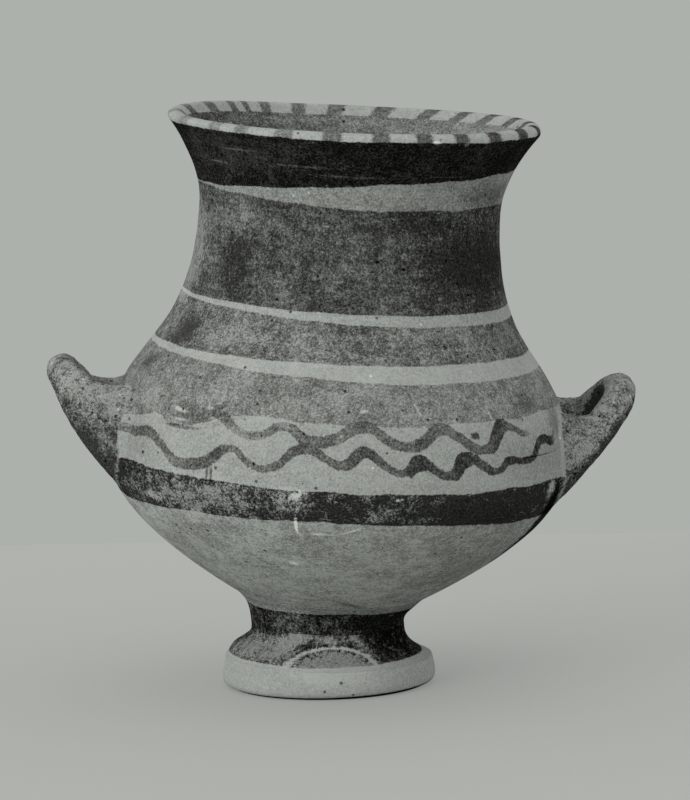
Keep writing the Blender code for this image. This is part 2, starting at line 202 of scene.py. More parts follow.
# The lower edge of the shoulder's wash, and the two wavy lines: degrees round from the front, the height and,
# for the lines, the brush's width, in millimetres
WASH_EDGE = (
    (-90, 71.5), (-72, 71.7), (-62, 73), (-57, 74), (-52, 72), (-46, 72.4), (-42, 73.3), (-38, 74.5),
    (-33, 76.2), (-26, 76.7), (-10, 76.5), (5, 76.2), (19, 76.4), (26, 77), (38, 77.3), (52, 77.4),
    (60, 78), (72, 77.6), (90, 77.6),
)
LOWER_WAVE = (
    (-90, 79, 1.6), (-82, 77.6, 1.6), (-79, 74, 1.8), (-76, 70.6, 2), (-71, 68.8, 2), (-67, 68.2, 2.3),
    (-60, 69, 2.7), (-57, 68.6, 2.5), (-55, 67.4, 2.3), (-53, 66.4, 2.3), (-51, 64.8, 2.3),
    (-49, 63.5, 2.4), (-47, 62.8, 2.6), (-42, 63.2, 3), (-39, 63.8, 3.3), (-37, 65, 3.2), (-35, 66.7, 2.9),
    (-33, 68, 2.3), (-31, 68.3, 1.8), (-29, 67, 1.7), (-27, 65.5, 1.8), (-25, 64.5, 1.7), (-23, 64.1, 1.8),
    (-21, 64.6, 2), (-19, 65.4, 2.1), (-17, 67.7, 2.2), (-15, 69.3, 2.5), (-12, 70, 2.7), (-10, 69.4, 2.3),
    (-8, 68.1, 1.9), (-6, 67, 2), (-4, 66.3, 2.2), (-2, 67, 2.8), (0, 68.8, 3.2), (2, 69.9, 2.8),
    (4, 69, 2.3), (6, 67.3, 2.1), (8, 66, 2), (11, 64.8, 2), (13, 66, 3.3), (14, 66.8, 4.2),
    (16, 67.4, 4.2), (17, 67.3, 3.2), (19, 66.1, 2.2), (21, 64.8, 2), (23, 64.1, 2.1), (25, 65.1, 3),
    (26, 66.5, 4.2), (28, 68, 4), (30, 68.2, 3), (32, 67.2, 2.3), (35, 65.5, 2.2), (37, 64.7, 1.9),
    (40, 65.9, 2.2), (42, 67.1, 2.5), (44, 67.1, 1.9), (47, 66.7, 1.8), (51, 67, 1.9), (53, 68.4, 2.1),
    (55, 70.5, 2.3), (58, 71.3, 2.3), (63, 70.4, 2.5), (66, 72, 2.3), (90, 76, 2),
)
UPPER_WAVE = (
    (-90, 80, 2), (-40, 78, 2.4), (-37, 76.6, 2.5), (-34, 75.2, 2.7), (-32, 73.9, 2.3), (-30, 72.8, 2.1),
    (-28, 72.2, 2.1), (-25, 72.2, 2.3), (-23, 72.9, 2.2), (-21, 74.3, 2.2), (-19, 75.1, 2.2),
    (-17, 74.8, 2.3), (-15, 73.6, 2.4), (-13, 72.2, 2.7), (-10, 71.8, 2.9), (-7, 72.4, 3), (-5, 73, 3),
    (-3, 74.2, 3), (-1, 75.4, 3.2), (2, 76, 3), (4, 75.4, 2.7), (6, 74, 2.5), (8, 72.7, 2.5),
    (10, 71.8, 2.5), (13, 71.4, 2.5), (15, 71.8, 3), (17, 72.8, 3), (19, 74.3, 3), (21, 75.7, 3),
    (23, 75.6, 2.7), (25, 74.4, 2.5), (27, 73.4, 2.5), (29, 72, 2.6), (31, 71, 2.5), (33, 70.4, 2.2),
    (35, 70.5, 2.6), (37, 72.2, 3.6), (39, 74.3, 4.1), (42, 75.9, 2.9), (44, 75.4, 1.9), (46, 74.6, 1.6),
    (48, 73.6, 1.6), (51, 73.3, 1.1), (90, 73, 1),
)

# Each wavy line, where its brush starts and stops, in degrees, and the tone of its paint
WAVES = ((UPPER_WAVE, -40, 52, 0.40), (LOWER_WAVE, -86, 66, 0.33))

# The heights and the widths that the strokes' curves run over, in millimetres
WAVE_FLOOR = 60.0
WAVE_SPAN = 20.0
WIDTH_SPAN = 6.0

# Middles of the short strokes across the lip, in degrees round from the front
LIP_STROKES = (
    3.6, 17.1, 30.2, 43.4, 59, 76, 91, 105.1, 120.7, 133.9, 147, 164.4, 181.5, 194.8, 208.7, 216.5, 222.2,
    234.1, 252.2, 270, 290, 309, 318.6, 333.8, 348.9,
)

# Marks of wear and of the brush on the body, and broad marks paling the left side and darkening the right
# side, which are partly painted light and shade: degrees round, height in millimetres, half width in degrees,
# half height in millimetres, turn in degrees, softness of the edge, change of tone, and change in how much of
# the paint is rubbed
MARKS = (
    (-47.6, 125, 13, 6.5, 0, 0.9, 0.05, 1.2),
    (-50, 112, 12, 9, 0, 0.8, -0.02, -1.6),
    # Paler far left of the neck: partly painted light
    (-84, 114, 16, 16, 0, 0.5, 0.08, 1.6),
    # Darker right of the neck: partly painted shade
    (52, 115, 40, 16, 0, 0.7, -0.05, -1.5),
    (22, 127, 22, 4.5, 0, 0.8, -0.04, -1.4),
    # Paler left of the rim band: partly painted light
    (-48, 141, 34, 8, 0, 0.8, 0.02, 1.4),
    # Darker right end of the reserved band: partly painted shade
    (58, 132.5, 26, 5, 0, 0.8, -0.17, 0),
    (-45, 142.5, 12, 0.4, 0, 0.8, 0.10, 1.5),
    (-22, 139.6, 14, 0.4, 0, 0.8, 0.10, 1.5),
    (-4, 137.6, 16, 0.4, 0, 0.8, 0.11, 1.5),
    (31, 138.2, 9, 0.3, 0, 0.8, 0.08, 1.5),
    (-58, 138.6, 7, 0.4, 0, 0.8, 0.12, 1.8),
    (-64, 94.5, 9, 5, 30, 0.9, -0.04, -2.2),
    (-74, 85.5, 7, 2.5, 20, 0.9, -0.06, -2),
    (-42, 75.8, 11, 3.8, 0, 0.9, -0.06, -1.4),
    (-48, 71.9, 7, 0.6, 0, 0.5, -0.20, -1),
    (-49.4, 76.1, 4, 0.7, -8, 0.8, 0.16, 2),
    (-48.1, 73.7, 4.2, 0.6, 0, 0.8, 0.12, 2),
    (-39.6, 77.6, 1.6, 0.8, 0, 0.8, 0.16, 1),
    (-38, 75, 1.6, 0.8, 0, 0.8, 0.18, 1),
    (-37.8, 61.2, 0.45, 2.4, 0, 0.5, -0.26, 0),
    (-36.6, 61.6, 0.5, 2.6, 0, 0.5, -0.26, 0),
    (31.4, 73.9, 1.5, 1, 0, 0.4, -0.34, 0),
    (7.3, 69.8, 0.5, 0.35, 0, 0.5, -0.34, 0),
    (-60.6, 63.5, 0.8, 0.5, 0, 0.5, -0.34, 0),
    (-25.1, 65.2, 0.6, 0.5, 0, 0.5, -0.34, 0),
    (1.6, 79.8, 1.6, 0.5, 12, 0.8, 0.18, 1),
    (15.7, 80.6, 0.4, 2.4, 28, 0.6, 0.14, 1),
    (37.4, 78.9, 0.4, 2.2, 22, 0.6, 0.14, 1),
    (55, 80.8, 7, 4, 0, 0.9, -0.03, -1.6),
    (53.6, 67.4, 10.6, 0.25, 0, 0.6, -0.26, 0),
    (68, 75, 6, 4.5, 0, 0.7, -0.14, -0.6),
    (-42, 55, 27, 6.5, 0, 0.6, 0.02, 0.9),
    (-57, 52.6, 5, 1.6, 0, 0.7, 0.10, 2),
    (-15, 57.4, 5.5, 3.4, 0, 0.6, 0.08, 1.6),
    (-14.2, 58, 2.8, 1.4, 30, 0.7, 0.16, 1.6),
    (8, 54.5, 9, 3, 20, 0.8, 0.02, 1.2),
    (10.7, 58, 1.5, 0.7, 0, 0.6, 0.24, 1.4),
    (38, 55, 26, 7, 0, 0.7, -0.01, -1),
    (62.5, 57.4, 3.6, 3, 30, 0.7, 0.14, 2.4),
    (-14.4, 50.6, 0.55, 3.2, 3, 0.5, 0.26, 1.5),
    (-7.6, 47.9, 4.8, 0.40, 0, 0.6, 0.16, 0),
    (0, 49.2, 3.6, 0.40, 21, 0.6, 0.16, 0),
    (-16.8, 38.6, 2.1, 0.8, -10, 0.6, 0.16, 1),
    # A dark streak along the right side below the handle's front root
    (68.8, 46.4, 6.6, 14, 0, 0.4, -0.44, -1),
    (-36, 95.5, 24, 5, 0, 0.9, 0.02, 0.6),
    (-66, 66, 16, 9, 0, 0.9, -0.07, 0),
    # The next two darken the right side of the ground and of the bowl: painted shade
    (58, 67, 24, 9, 0, 0.9, -0.09, 0),
    (48, 40, 32, 15, 0, 0.9, -0.05, -0.6),
    (8, 24.8, 17, 1, -8, 0.8, -0.14, -0.8),
    (20.8, 147.4, 1.3, 0.7, 0, 0.5, 0.30, 0),
    (31.6, 147.1, 1.1, 0.6, 0, 0.5, 0.26, 0),
)

# Rubbed places on the stem: degrees round, height, half width, half height, turn, softness, and how rubbed.
# The broad rub on the left is partly painted light, and the last, less rubbed so darker on the right, is
# painted shade
FOOT_RUBS = (
    (-30, 14.5, 19, 3.6, 10, 0.9, 3),
    (18, 14.2, 16, 2.2, -20, 0.9, 2.2),
    # Broad paler rub on the left: partly painted light
    (-62, 11.5, 40, 4.6, 0, 0.9, 2.2),
    (-6, 14.6, 22, 2.4, 0, 0.9, 1.8),
    # Less rubbed, so darker, on the right: painted shade
    (58, 16, 36, 9, 0, 0.8, -1.4),
)

# The middle of the old mend in the foot's edge: degrees round, and height
MEND_PLACE = (-2.3, 8.0)

foot_low, foot_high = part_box("foot")
FOOT_AXIS = Vector(((foot_low.x + foot_high.x) / 2, 0, 0))
LEANING = (
    Matrix.Translation(FOOT_AXIS + Vector((BODY_OFFSET, 0, SEAT_HEIGHT)))
    @ Matrix.Rotation(LEAN, 4, "Y")
    @ Matrix.Translation((0, 0, -SEAT_HEIGHT))
)


def hex_colour(text):
    """The linear colour of an sRGB hex value."""
    levels = [int(text[place:place + 2], 16) / 255 for place in (0, 2, 4)]
    return [level / 12.92 if level <= 0.04045 else ((level + 0.055) / 1.055) ** 2.4 for level in levels]


def smooth_share(value, start, end):
    """0 before start, 1 after end, and an even S between them."""
    share = min(max((value - start) / (end - start), 0.0), 1.0)
    return share * share * (3 - 2 * share)


# Settings that a user would change

def length(name, description, default):
    return FloatProperty(
        name=name, description=description, default=default, min=0.0, unit="LENGTH", precision=5
    )


def colour(name, description, text):
    return FloatVectorProperty(
        name=name, description=description, default=hex_colour(text), size=3, min=0.0, max=1.0,
        subtype="COLOR",
    )


class PotShape(bpy.types.PropertyGroup):
    """How unevenly the pot was thrown and its handles rolled."""

    lump_depth: length("Lump depth", "How far the thrown wall swells in and out over its width", 0.00035)
    ridge_depth: length("Ridge depth", "Height of the soft ridges that fingers left on the wheel", 0.00010)
    lip_waver: length("Lip waver", "How far the lip rises and falls round the mouth", 0.00025)
    lip_dip: length("Lip dip", "How far the lip sags at the front and the back", 0.0011)
    lip_press: length("Lip press", "How far the lip's crest is pressed down on the left", 0.0012)
    handle_lump_depth: length("Handle lump depth", "How far the rolled handles swell in and out", 0.00040)
    handle_pit_depth: length("Handle pit depth", "Roughness of the handles' worn skin", 0.00014)


class PotPaint(bpy.types.PropertyGroup):
    """Colours of the clay and of the matt paint as it wears from thick to bare."""

    deep_paint: colour("Thick paint", "Paint where two strokes overlap", "0c0c0a")
    dark_paint: colour("Dark paint", "A full coat of paint", "414240")
    worn_paint: colour("Worn paint", "Paint rubbed thin", "676965")
    thin_paint: colour("Thin wash", "A watery wash over the clay", "8b8e8a")
    pale_clay: colour("Pale clay", "The burnished bare clay", "b1b5b0")
    fresh_clay: colour("Fresh clay", "Clay in a chip or scratch", "dfe1dc")
    brush: FloatProperty(
        name="Brush", description="Width of the wavy strokes as a share", default=1.0, min=0.1
    )


class PotStage(bpy.types.PropertyGroup):
    """The studio."""

    table_colour: colour("Table", "The table's top", "bec1bc")
    backdrop_colour: colour("Backdrop", "What the camera sees behind the table", "adb1ac")
    key_power: FloatProperty(
        name="Key power", description="Power of the large soft lamp", default=51.0, min=0.0, unit="POWER"
    )
    fill_power: FloatProperty(
        name="Fill power", description="Power of the lamp on the other side", default=2.0, min=0.0,
        unit="POWER",
    )
    sky_strength: FloatProperty(
        name="Sky strength", description="Strength of the even light from all round", default=0.80, min=0.0
    )


# Curves in the (radius, height) plane, as points (radius, 0, height)

def flat_point(radius, height):
    return Vector((radius, 0, height))


def slope_direction(slope):
    return Vector((math.cos(slope), 0, math.sin(slope)))


def lip_point(angle):
    centre = flat_point(LIP_RADIUS - LIP_ROUND, POT_HEIGHT - LIP_ROUND)
    return centre + LIP_ROUND * slope_direction(angle)


def joined(curves):
    """Curves end to end as one row of points. Each has its start, start pull, end pull, end and count."""
    points = [curves[0][0]]
    for *ends, count in curves:
        points += interpolate_bezier(*ends, count)[1:]
    return points


def outer_profile():
    """The body's outside, from the centre of its bottom up to the lip."""
    bottom = flat_point(0, SEAT_HEIGHT)
    bowl = flat_point(BOWL_FOOT_RADIUS, BOWL_FOOT_HEIGHT)
    rise = slope_direction(BOWL_FOOT_SLOPE)
    belly = flat_point(BELLY_RADIUS, BELLY_HEIGHT)
    neck = flat_point(NECK_RADIUS, NECK_HEIGHT)
    lip = lip_point(LIP_SLOPE - math.pi / 2)
    lip_pull = lip - FLARE_UPPER_FULLNESS * slope_direction(LIP_SLOPE)
    up = Vector((0, 0, 1))
    third = BOWL_FOOT_RADIUS / 3
    return joined((
        (bottom, flat_point(third, SEAT_HEIGHT), bowl - third * rise, bowl, 12),
        (bowl, bowl + BOWL_LOWER_FULLNESS * rise, belly - BOWL_UPPER_FULLNESS * up, belly, 56),
        (belly, belly + SHOULDER_LOWER_FULLNESS * up, neck - SHOULDER_UPPER_FULLNESS * up, neck, 60),
        (neck, neck + FLARE_LOWER_FULLNESS * up, lip_pull, lip, 26),
    ))


OUTER_PROFILE = outer_profile()
OUTER_HEIGHTS = [point.z for point in OUTER_PROFILE]


def outer_radius(height):
    """Radius of the body's outside at a height above the table."""
    after = min(max(bisect.bisect(OUTER_HEIGHTS, height), 1), len(OUTER_HEIGHTS) - 1)
    low, high = OUTER_PROFILE[after - 1], OUTER_PROFILE[after]
    return low.x + (high.x - low.x) * (height - low.z) / (high.z - low.z)


def inner_profile():
    """The body's inside, from under the lip down to the centre of its floor."""
    points = []
    for before, point, after in zip(OUTER_PROFILE, OUTER_PROFILE[1:], OUTER_PROFILE[2:]):
        along = (after - before).normalized()
        thickness = WALL
        if point.z < BELLY_HEIGHT:
            thickness = FLOOR_THICKNESS + (WALL - FLOOR_THICKNESS) * min(point.x / BELLY_RADIUS, 1.0)
        inner = point + thickness * Vector((-along.z, 0, along.x))
        if inner.x > WALL / 2:
            points.append(inner)
    return points[::-2] + [flat_point(0, SEAT_HEIGHT + FLOOR_THICKNESS)]


# Turned pieces

def spun(profile, origin=0, closed=False):
    """A bmesh of the profile spun a full turn round Z. Each point keeps its way along it from origin."""
    shape = bmesh.new()
    way = shape.verts.layers.float.new("profile_way")
    corners = [shape.verts.new(point) for point in profile]
    steps = [0.0] + [(after - before).length for before, after in zip(profile, profile[1:])]
    for place, corner in enumerate(corners):
        corner[way] = sum(steps[:place + 1]) - sum(steps[:origin + 1])
    sides = [shape.edges.new(pair) for pair in zip(corners, corners[1:])]
    if closed:
        sides.append(shape.edges.new((corners[-1], corners[0])))
    bmesh.ops.spin(
        shape, geom=corners + sides, axis=(0, 0, 1), cent=(0, 0, 0), angle=2 * math.pi, steps=TURN_STEPS,
        use_merge=True, use_duplicate=False,
    )
    bmesh.ops.remove_doubles(shape, verts=shape.verts, dist=MERGE_DISTANCE)
    bmesh.ops.recalc_face_normals(shape, faces=shape.faces)
    return shape


def finished(name, shape, material, replaced):
    """The bmesh as a piece that rides on the pot and stands for the CAD nodes."""
    mesh = bpy.data.meshes.new(name)
    shape.to_mesh(mesh)
    shape.free()
    mesh.materials.append(material)
    mesh.shade_smooth()
    piece = bpy.data.objects.new(name, mesh)
    bpy.context.scene.collection.objects.link(piece)
    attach(piece, "root")
    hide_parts(*replaced)
    return piece


def throw_unevenly(shape, settings):
    """Swell the wall a little, leave soft finger ridges and let the lip waver, as throwing by hand does."""
    for vert in shape.verts:
        place = vert.co
        radius = math.hypot(place.x, place.y)
        if radius < MM:
            continue
        swell = settings.lump_depth * noise.noise(place / SWELL_WIDTH)
        ridges = Vector((place.x / RIDGE_LENGTH, place.y / RIDGE_LENGTH, place.z / RIDGE_WIDTH))
        ridge = settings.ridge_depth * noise.noise(ridges)
        spread = smooth_share(radius, 0.008, 0.026) * (swell + ridge) / radius
        waver = noise.noise(Vector((2.2 * place.x / radius, 2.2 * place.y / radius, 7.3)))
        sag = settings.lip_dip * (place.y / radius) ** 2
        from_press = math.degrees(math.atan2(place.x, -place.y)) - PRESS_ANGLE
        at_crest = smooth_share(place.z, 0.1483, POT_HEIGHT)
        pressed = settings.lip_press * math.exp(-(from_press / PRESS_SPREAD) ** 2) * at_crest
        lift = (settings.lip_waver * waver - sag) * smooth_share(place.z, 0.132, 0.150) - pressed
        vert.co = Vector((place.x * (1 + spread), place.y * (1 + spread), place.z + lift))


def body_shape(settings):
    lip = [lip_point(LIP_SLOPE - math.pi / 2 + math.pi * step / 16) for step in range(1, 16)]
    profile = OUTER_PROFILE + lip
    crest = max(range(len(profile)), key=lambda place: profile[place].z)
    shape = spun(profile + inner_profile(), origin=crest)
    throw_unevenly(shape, settings)
    bmesh.ops.transform(shape, matrix=LEANING, verts=shape.verts)
    return shape


def foot_shape(settings):
    hollow_radius = FOOT_BASE_RADIUS - STANDING_RING_WIDTH
    edge = flat_point(FOOT_EDGE_RADIUS, FOOT_EDGE_HEIGHT - FOOT_EDGE_ROUND)
    corner = flat_point(FOOT_EDGE_RADIUS, FOOT_EDGE_HEIGHT)
    edge_top = flat_point(FOOT_EDGE_RADIUS - FOOT_EDGE_ROUND, FOOT_EDGE_HEIGHT)
    waist = flat_point(STEM_WAIST_RADIUS, STEM_WAIST_HEIGHT)
    stem_end = flat_point(STEM_WAIST_RADIUS - MM / 2, STEM_END_HEIGHT)
    standing_edge = flat_point(hollow_radius, 0)
    base = flat_point(FOOT_BASE_RADIUS, 0)
    chamfer = flat_point(FOOT_BASE_RADIUS + FOOT_CHAMFER / 2, FOOT_CHAMFER)
    toe = flat_point(FOOT_RADIUS - 2 * FOOT_CHAMFER, FOOT_CHAMFER)
    spread = Vector((-STEM_SPREAD, 0, STEM_SPREAD / 2))
    top = flat_point(0, STEM_END_HEIGHT - MM / 2)
    shape = spun(joined((
        (flat_point(0, HOLLOW_DEPTH), flat_point(HOLLOW_CROWN, HOLLOW_DEPTH),
         flat_point(hollow_radius - HOLLOW_EDGE_LEAN, HOLLOW_EDGE_RISE), standing_edge, 18),
        (standing_edge, standing_edge.lerp(base, 0.3), standing_edge.lerp(base, 0.7), base, 6),
        (base, base.lerp(chamfer, 0.4), chamfer.lerp(base, 0.2), chamfer, 4),
        (chamfer, chamfer.lerp(toe, 0.3), chamfer.lerp(toe, 0.7), toe, 4),
        (toe, flat_point(FOOT_RADIUS, FOOT_BULGE_LOW), flat_point(FOOT_RADIUS, FOOT_BULGE_HIGH), edge, 16),
        (edge, edge.lerp(corner, 0.6), edge_top.lerp(corner, 0.6), edge_top, 6),
        (edge_top, edge_top + spread, waist - Vector((0, 0, STEM_SPREAD)), waist, 20),
        (waist, waist + Vector((0, 0, MM)), stem_end - Vector((0, 0, MM)), stem_end, 6),
        (stem_end, flat_point(0.7 * stem_end.x, stem_end.z), flat_point(0.3 * stem_end.x, top.z), top, 8),
    )))
    for vert in shape.verts:
        place = vert.co
        radius = math.hypot(place.x, place.y)
        if radius > MM:
            swell = settings.lump_depth / 2 * noise.noise(place / FOOT_SWELL_WIDTH + Vector((3.1, 0, 0)))
            vert.co.xy *= 1 + smooth_share(place.z, 0.0005, 0.003) * swell / radius
            fuller = ((1 - place.x / radius) / 2) ** 2 * smooth_share(place.z, FLARE_LOW, FLARE_TOP)
            vert.co.z += FLARE_LIFT * fuller * (1 - smooth_share(place.z, FLARE_TOP, FLARE_END))
    bmesh.ops.translate(shape, vec=FOOT_AXIS, verts=shape.verts)
    return shape


def foot_join_shape():
    """Clay pressed into the groove over the stem. Its foot is level and its top leans with the bowl."""
    low = flat_point(STEM_WAIST_RADIUS - MM / 10, JOIN_LOW)
    high = flat_point(JOIN_RADIUS, JOIN_HIGH)
    groove = interpolate_bezier(low, low + JOIN_RISE, high - JOIN_PULL, high, 18)
    hidden = [
        flat_point(JOIN_TOP_RADIUS, JOIN_TOP), flat_point(JOIN_CORE_RADIUS, JOIN_CORE_HIGH),
        flat_point(JOIN_CORE_RADIUS, JOIN_LOW),
    ]
    shape = spun(groove + hidden, closed=True)
    upright = Matrix.Translation(FOOT_AXIS)
    for vert in shape.verts:
        share = smooth_share(vert.co.z, 0.0155, 0.0222)
        vert.co = (upright @ vert.co).lerp(LEANING @ vert.co, share)
    return shape


# Handles

def loop_path(side, reach, rise):
    """The middle of a handle's rod from its front root to its back root, with the way to each point."""
    belly = outer_radius(HANDLE_ROOT_HEIGHT)
    root = flat_point(math.sqrt(belly ** 2 - HANDLE_HALF_SPAN ** 2), HANDLE_ROOT_HEIGHT)
    tip = flat_point(belly + reach, HANDLE_ROOT_HEIGHT + rise)
    middle = (root + tip) / 2 + Vector((HANDLE_SWEEP, 0, -HANDLE_SWEEP))
    power = 2 / HANDLE_SQUARENESS
    points = []
    for step in range(PATH_POINTS + 1):
        angle = math.pi * step / PATH_POINTS
        out = abs(math.sin(angle)) ** power
        across = -math.copysign(abs(math.cos(angle)) ** power, math.cos(angle))
        place = (1 - out) ** 2 * root + 2 * out * (1 - out) * middle + out ** 2 * tip
        points.append(Vector((side * place.x, across * HANDLE_HALF_SPAN, place.z)))
    return points


def ways(points):
    """How far along the path each point is."""
    travelled = [0.0]
    for before, after in zip(points, points[1:]):
        travelled.append(travelled[-1] + (after - before).length)
    return travelled


def path_point(path, distance):
    points, travelled = path
    after = min(max(bisect.bisect(travelled, distance), 1), len(points) - 1)
    share = (distance - travelled[after - 1]) / (travelled[after] - travelled[after - 1])
    return points[after - 1].lerp(points[after], share)


def rod_point(path, radius, distance, angle):
    """A point on the rod's skin, a distance along it and an angle round it. Its top is at a quarter turn."""
    total = path[1][-1]
    centre = path_point(path, distance)
    along = path_point(path, min(distance + MM, total)) - path_point(path, max(distance - MM, 0.0))
    along.normalize()
    level = Vector((0, 0, 1)).cross(along).normalized()
    upper = along.cross(level)
    to_root = max(0.0, min(distance, total - distance))
    thickening = smooth_share(ROOT_LENGTH - to_root, 0.0, ROOT_LENGTH)
    thickness = radius + (HANDLE_ROOT_RADIUS - radius) * thickening
    return centre + thickness * (level * math.cos(angle) + upper * math.sin(angle))


def belly_point(side, azimuth, height):
    """A point of the belly's surface and the way that it faces."""
    radius = outer_radius(height)
    slope = (outer_radius(height + MM) - outer_radius(height - MM)) / (2 * MM)
    outward = Vector((side * math.cos(azimuth), math.sin(azimuth), 0))
    return radius * outward + Vector((0, 0, height)), (outward - Vector((0, 0, slope))).normalized()


def web_lift(side, angle, web, under):
    """How far the clay of a root's webs lies off the rod: up on its top, and out and down below."""
    low = 0.7 * under * max(-math.sin(angle), 0.0)
    return Vector((side * low, 0, web * max(math.sin(angle), 0.0) - low))


def root_point(side, path, radius, angle, share, web, under):
    """A point of a root: share runs from 0 at its footprint in the belly to 1 where it meets the rod. Its
    skin leaves the belly along it, as smeared clay does."""
    root = path[0][0]
    azimuth = math.atan2(root.y, side * root.x)
    turn_sign = Vector((0, 0, 1)).cross(path[0][1] - root).y
    raised = web_lift(side, angle, web, under)
    middle = root.z + ROOT_RISE
    dropped = ROOT_DROP * min(math.sin(angle), 0.0)
    height = middle + ROOT_HALF_HEIGHT * math.sin(angle) + dropped + raised.z
    turned_by = math.copysign(ROOT_HALF_WIDTH, turn_sign) * math.cos(angle) / outer_radius(height)
    place, facing = belly_point(side, azimuth + turned_by, height)
    inwards = belly_point(side, azimuth, middle)[0] - place
    foot = place - ROOT_SINK * facing
    fill = ROOT_LOW_FILL + (ROOT_TOP_FILL - ROOT_LOW_FILL) * (1 + math.sin(angle)) / 2
    skirt = place + ROOT_SPREAD * (1 - fill / 1.5) * (inwards - inwards.project(facing))
    end = rod_point(path, radius, ROOT_LENGTH + ROOT_SLANT * math.sin(angle), angle) + raised
    bend = (rod_point(path, radius, 0.0, angle) + raised).lerp((foot + end) / 2, fill).lerp(end, 0.3)
    rest = 1 - share
    return rest ** 3 * foot + 3 * rest ** 2 * share * skirt + 3 * rest * share ** 2 * bend + share ** 3 * end


def handle_point(side, path, back_path, radius, webs, section, angle):
    """A point of a handle's skin in one of its sections, which run from the front root to the back root."""
    last = 2 * ROOT_SECTIONS + ROD_SECTIONS
    if section <= ROOT_SECTIONS:
        return root_point(side, path, radius, angle, section / ROOT_SECTIONS, webs[0], webs[2])
    if section >= last - ROOT_SECTIONS:
        share = (last - section) / ROOT_SECTIONS
        return root_point(side, back_path, radius, math.pi - angle, share, webs[1], webs[2])
    share = (section - ROOT_SECTIONS) / ROD_SECTIONS
    slant = ROOT_SLANT * (1 - 2 * share) * math.sin(angle)
    distance = ROOT_LENGTH + (path[1][-1] - 2 * ROOT_LENGTH) * share + slant
    first = 1 - smooth_share(share, 0.0, WEB_END)
    final = smooth_share(share, 1 - WEB_END, 1.0)
    raised = web_lift(side, angle, webs[0] * first + webs[1] * final, webs[2] * (first + final))
    return rod_point(path, radius, distance, angle) + raised


def handle_shape(side, reach, rise, radius, webs, settings):
    """One skin over a handle and both its roots: a circle, extruded from section to section."""
    points = loop_path(side, reach, rise)
    path = (points, ways(points))
    back_path = (points[::-1], ways(points[::-1]))
    last = 2 * ROOT_SECTIONS + ROD_SECTIONS
    shape = bmesh.new()
    turn = shape.verts.layers.float.new("turn")
    upward = shape.verts.layers.float.new("upward")
    inward = shape.verts.layers.float.new("inward")
    proud = shape.verts.layers.float.new("proud")
    ring = bmesh.ops.create_circle(shape, cap_ends=True, segments=HANDLE_SIDES, radius=1)["verts"]
    for vert in ring:
        vert[turn] = math.atan2(vert.co.y, vert.co.x)
        vert[upward] = math.sin(vert[turn])
    edges = shape.edges[:]
    for section in range(last + 1):
        if section > 0:
            made = bmesh.ops.extrude_edge_only(shape, edges=edges)["geom"]
            ring = [part for part in made if isinstance(part, bmesh.types.BMVert)]
            ends = set(ring)
            sides = [part for part in made if isinstance(part, bmesh.types.BMEdge)]
            edges = [edge for edge in sides if ends.issuperset(edge.verts)]
        from_root = min(section, last - section) / (last / 2)
        for vert in ring:
            vert.co = handle_point(side, path, back_path, radius, webs, section, vert[turn])
            vert[proud] = vert.co.xy.length - outer_radius(vert.co.z)
            vert[inward] = side * math.cos(vert[turn]) * smooth_share(from_root, 0.2, 0.6)
    bmesh.ops.holes_fill(shape, edges=edges, sides=0)
    shape.verts.layers.float.remove(turn)
    bmesh.ops.recalc_face_normals(shape, faces=shape.faces)
    for _ in range(3):
        bmesh.ops.smooth_vert(
            shape, verts=shape.verts, factor=0.5, use_axis_x=True, use_axis_y=True, use_axis_z=True
        )
    shape.normal_update()
    for vert in shape.verts:
        lump = settings.handle_lump_depth * noise.noise(vert.co / HANDLE_LUMP_WIDTH + Vector((0, 5.2, 0)))
        pit = settings.handle_pit_depth * noise.fractal(vert.co / HANDLE_PIT_WIDTH, 0.8, 2.0, 3)
        vert.co += (lump + pit) * vert.normal
    bmesh.ops.transform(shape, matrix=LEANING, verts=shape.verts)
    return shape


# Materials

def add(tree, kind, inputs=(), operation=None, **settings):
    """Add a shader node with its settings. Its inputs come in order or by name, and each is a value, an
    output, or a node for its first output."""
    made = tree.nodes.new("ShaderNode" + kind)
    if operation:
        settings["operation"] = operation
    for name, value in settings.items():
        setattr(made, name, value)
    for socket, value in inputs.items() if isinstance(inputs, dict) else enumerate(inputs):
        source = value.outputs[0] if isinstance(value, bpy.types.Node) else value
        if isinstance(source, bpy.types.NodeSocket):
            tree.links.new(source, made.inputs[socket])
        else:
            made.inputs[socket].default_value = source
    return made


def chart(tree, origin, lean):
    """Where a point lies on a turned piece: its place in millimetres, its height, its angle from the front,
    and two noises about 0 that fray the edges of paint."""
    here = add(tree, "TexCoord").outputs["Object"]
    place = add(
        tree, "Mapping",
        {"Vector": here, "Location": origin, "Rotation": (0, lean, 0), "Scale": (MM, MM, MM)},
        vector_type="TEXTURE",
    )
    parts = add(tree, "SeparateXYZ", (place,)).outputs
    front = add(tree, "Math", (parts["Y"], -1.0), "MULTIPLY")
    radians = add(tree, "Math", (parts["X"], front), "ARCTAN2")
    ragged = add(tree, "TexNoise", {"Vector": place, "Scale": 0.07, "Detail": 5.0, "Roughness": 0.6})
    fray = add(tree, "TexNoise", {"Vector": place, "Scale": 1.1, "Detail": 3.0, "Roughness": 0.7})
    depth = add(tree, "Math", (parts["Y"],), "ABSOLUTE")
    fold = add(tree, "Math", (parts["X"], depth), "ARCTAN2")
    sine = add(tree, "Math", (radians,), "SINE")
    angle = add(tree, "Math", (radians,), "DEGREES")
    return {
        "place": place,
        "height": parts["Z"],
        "folded": add(tree, "Math", (fold,), "DEGREES"),
        "angle": angle,
        "map": add(tree, "CombineXYZ", (angle, parts["Z"])),
        "fray": add(tree, "Math", (fray, 0.5), "SUBTRACT"),
        "sine": sine,
        "sine_squared": add(tree, "Math", (sine, sine), "MULTIPLY"),
        "ragged": add(tree, "Math", (ragged, 0.5), "SUBTRACT"),
    }


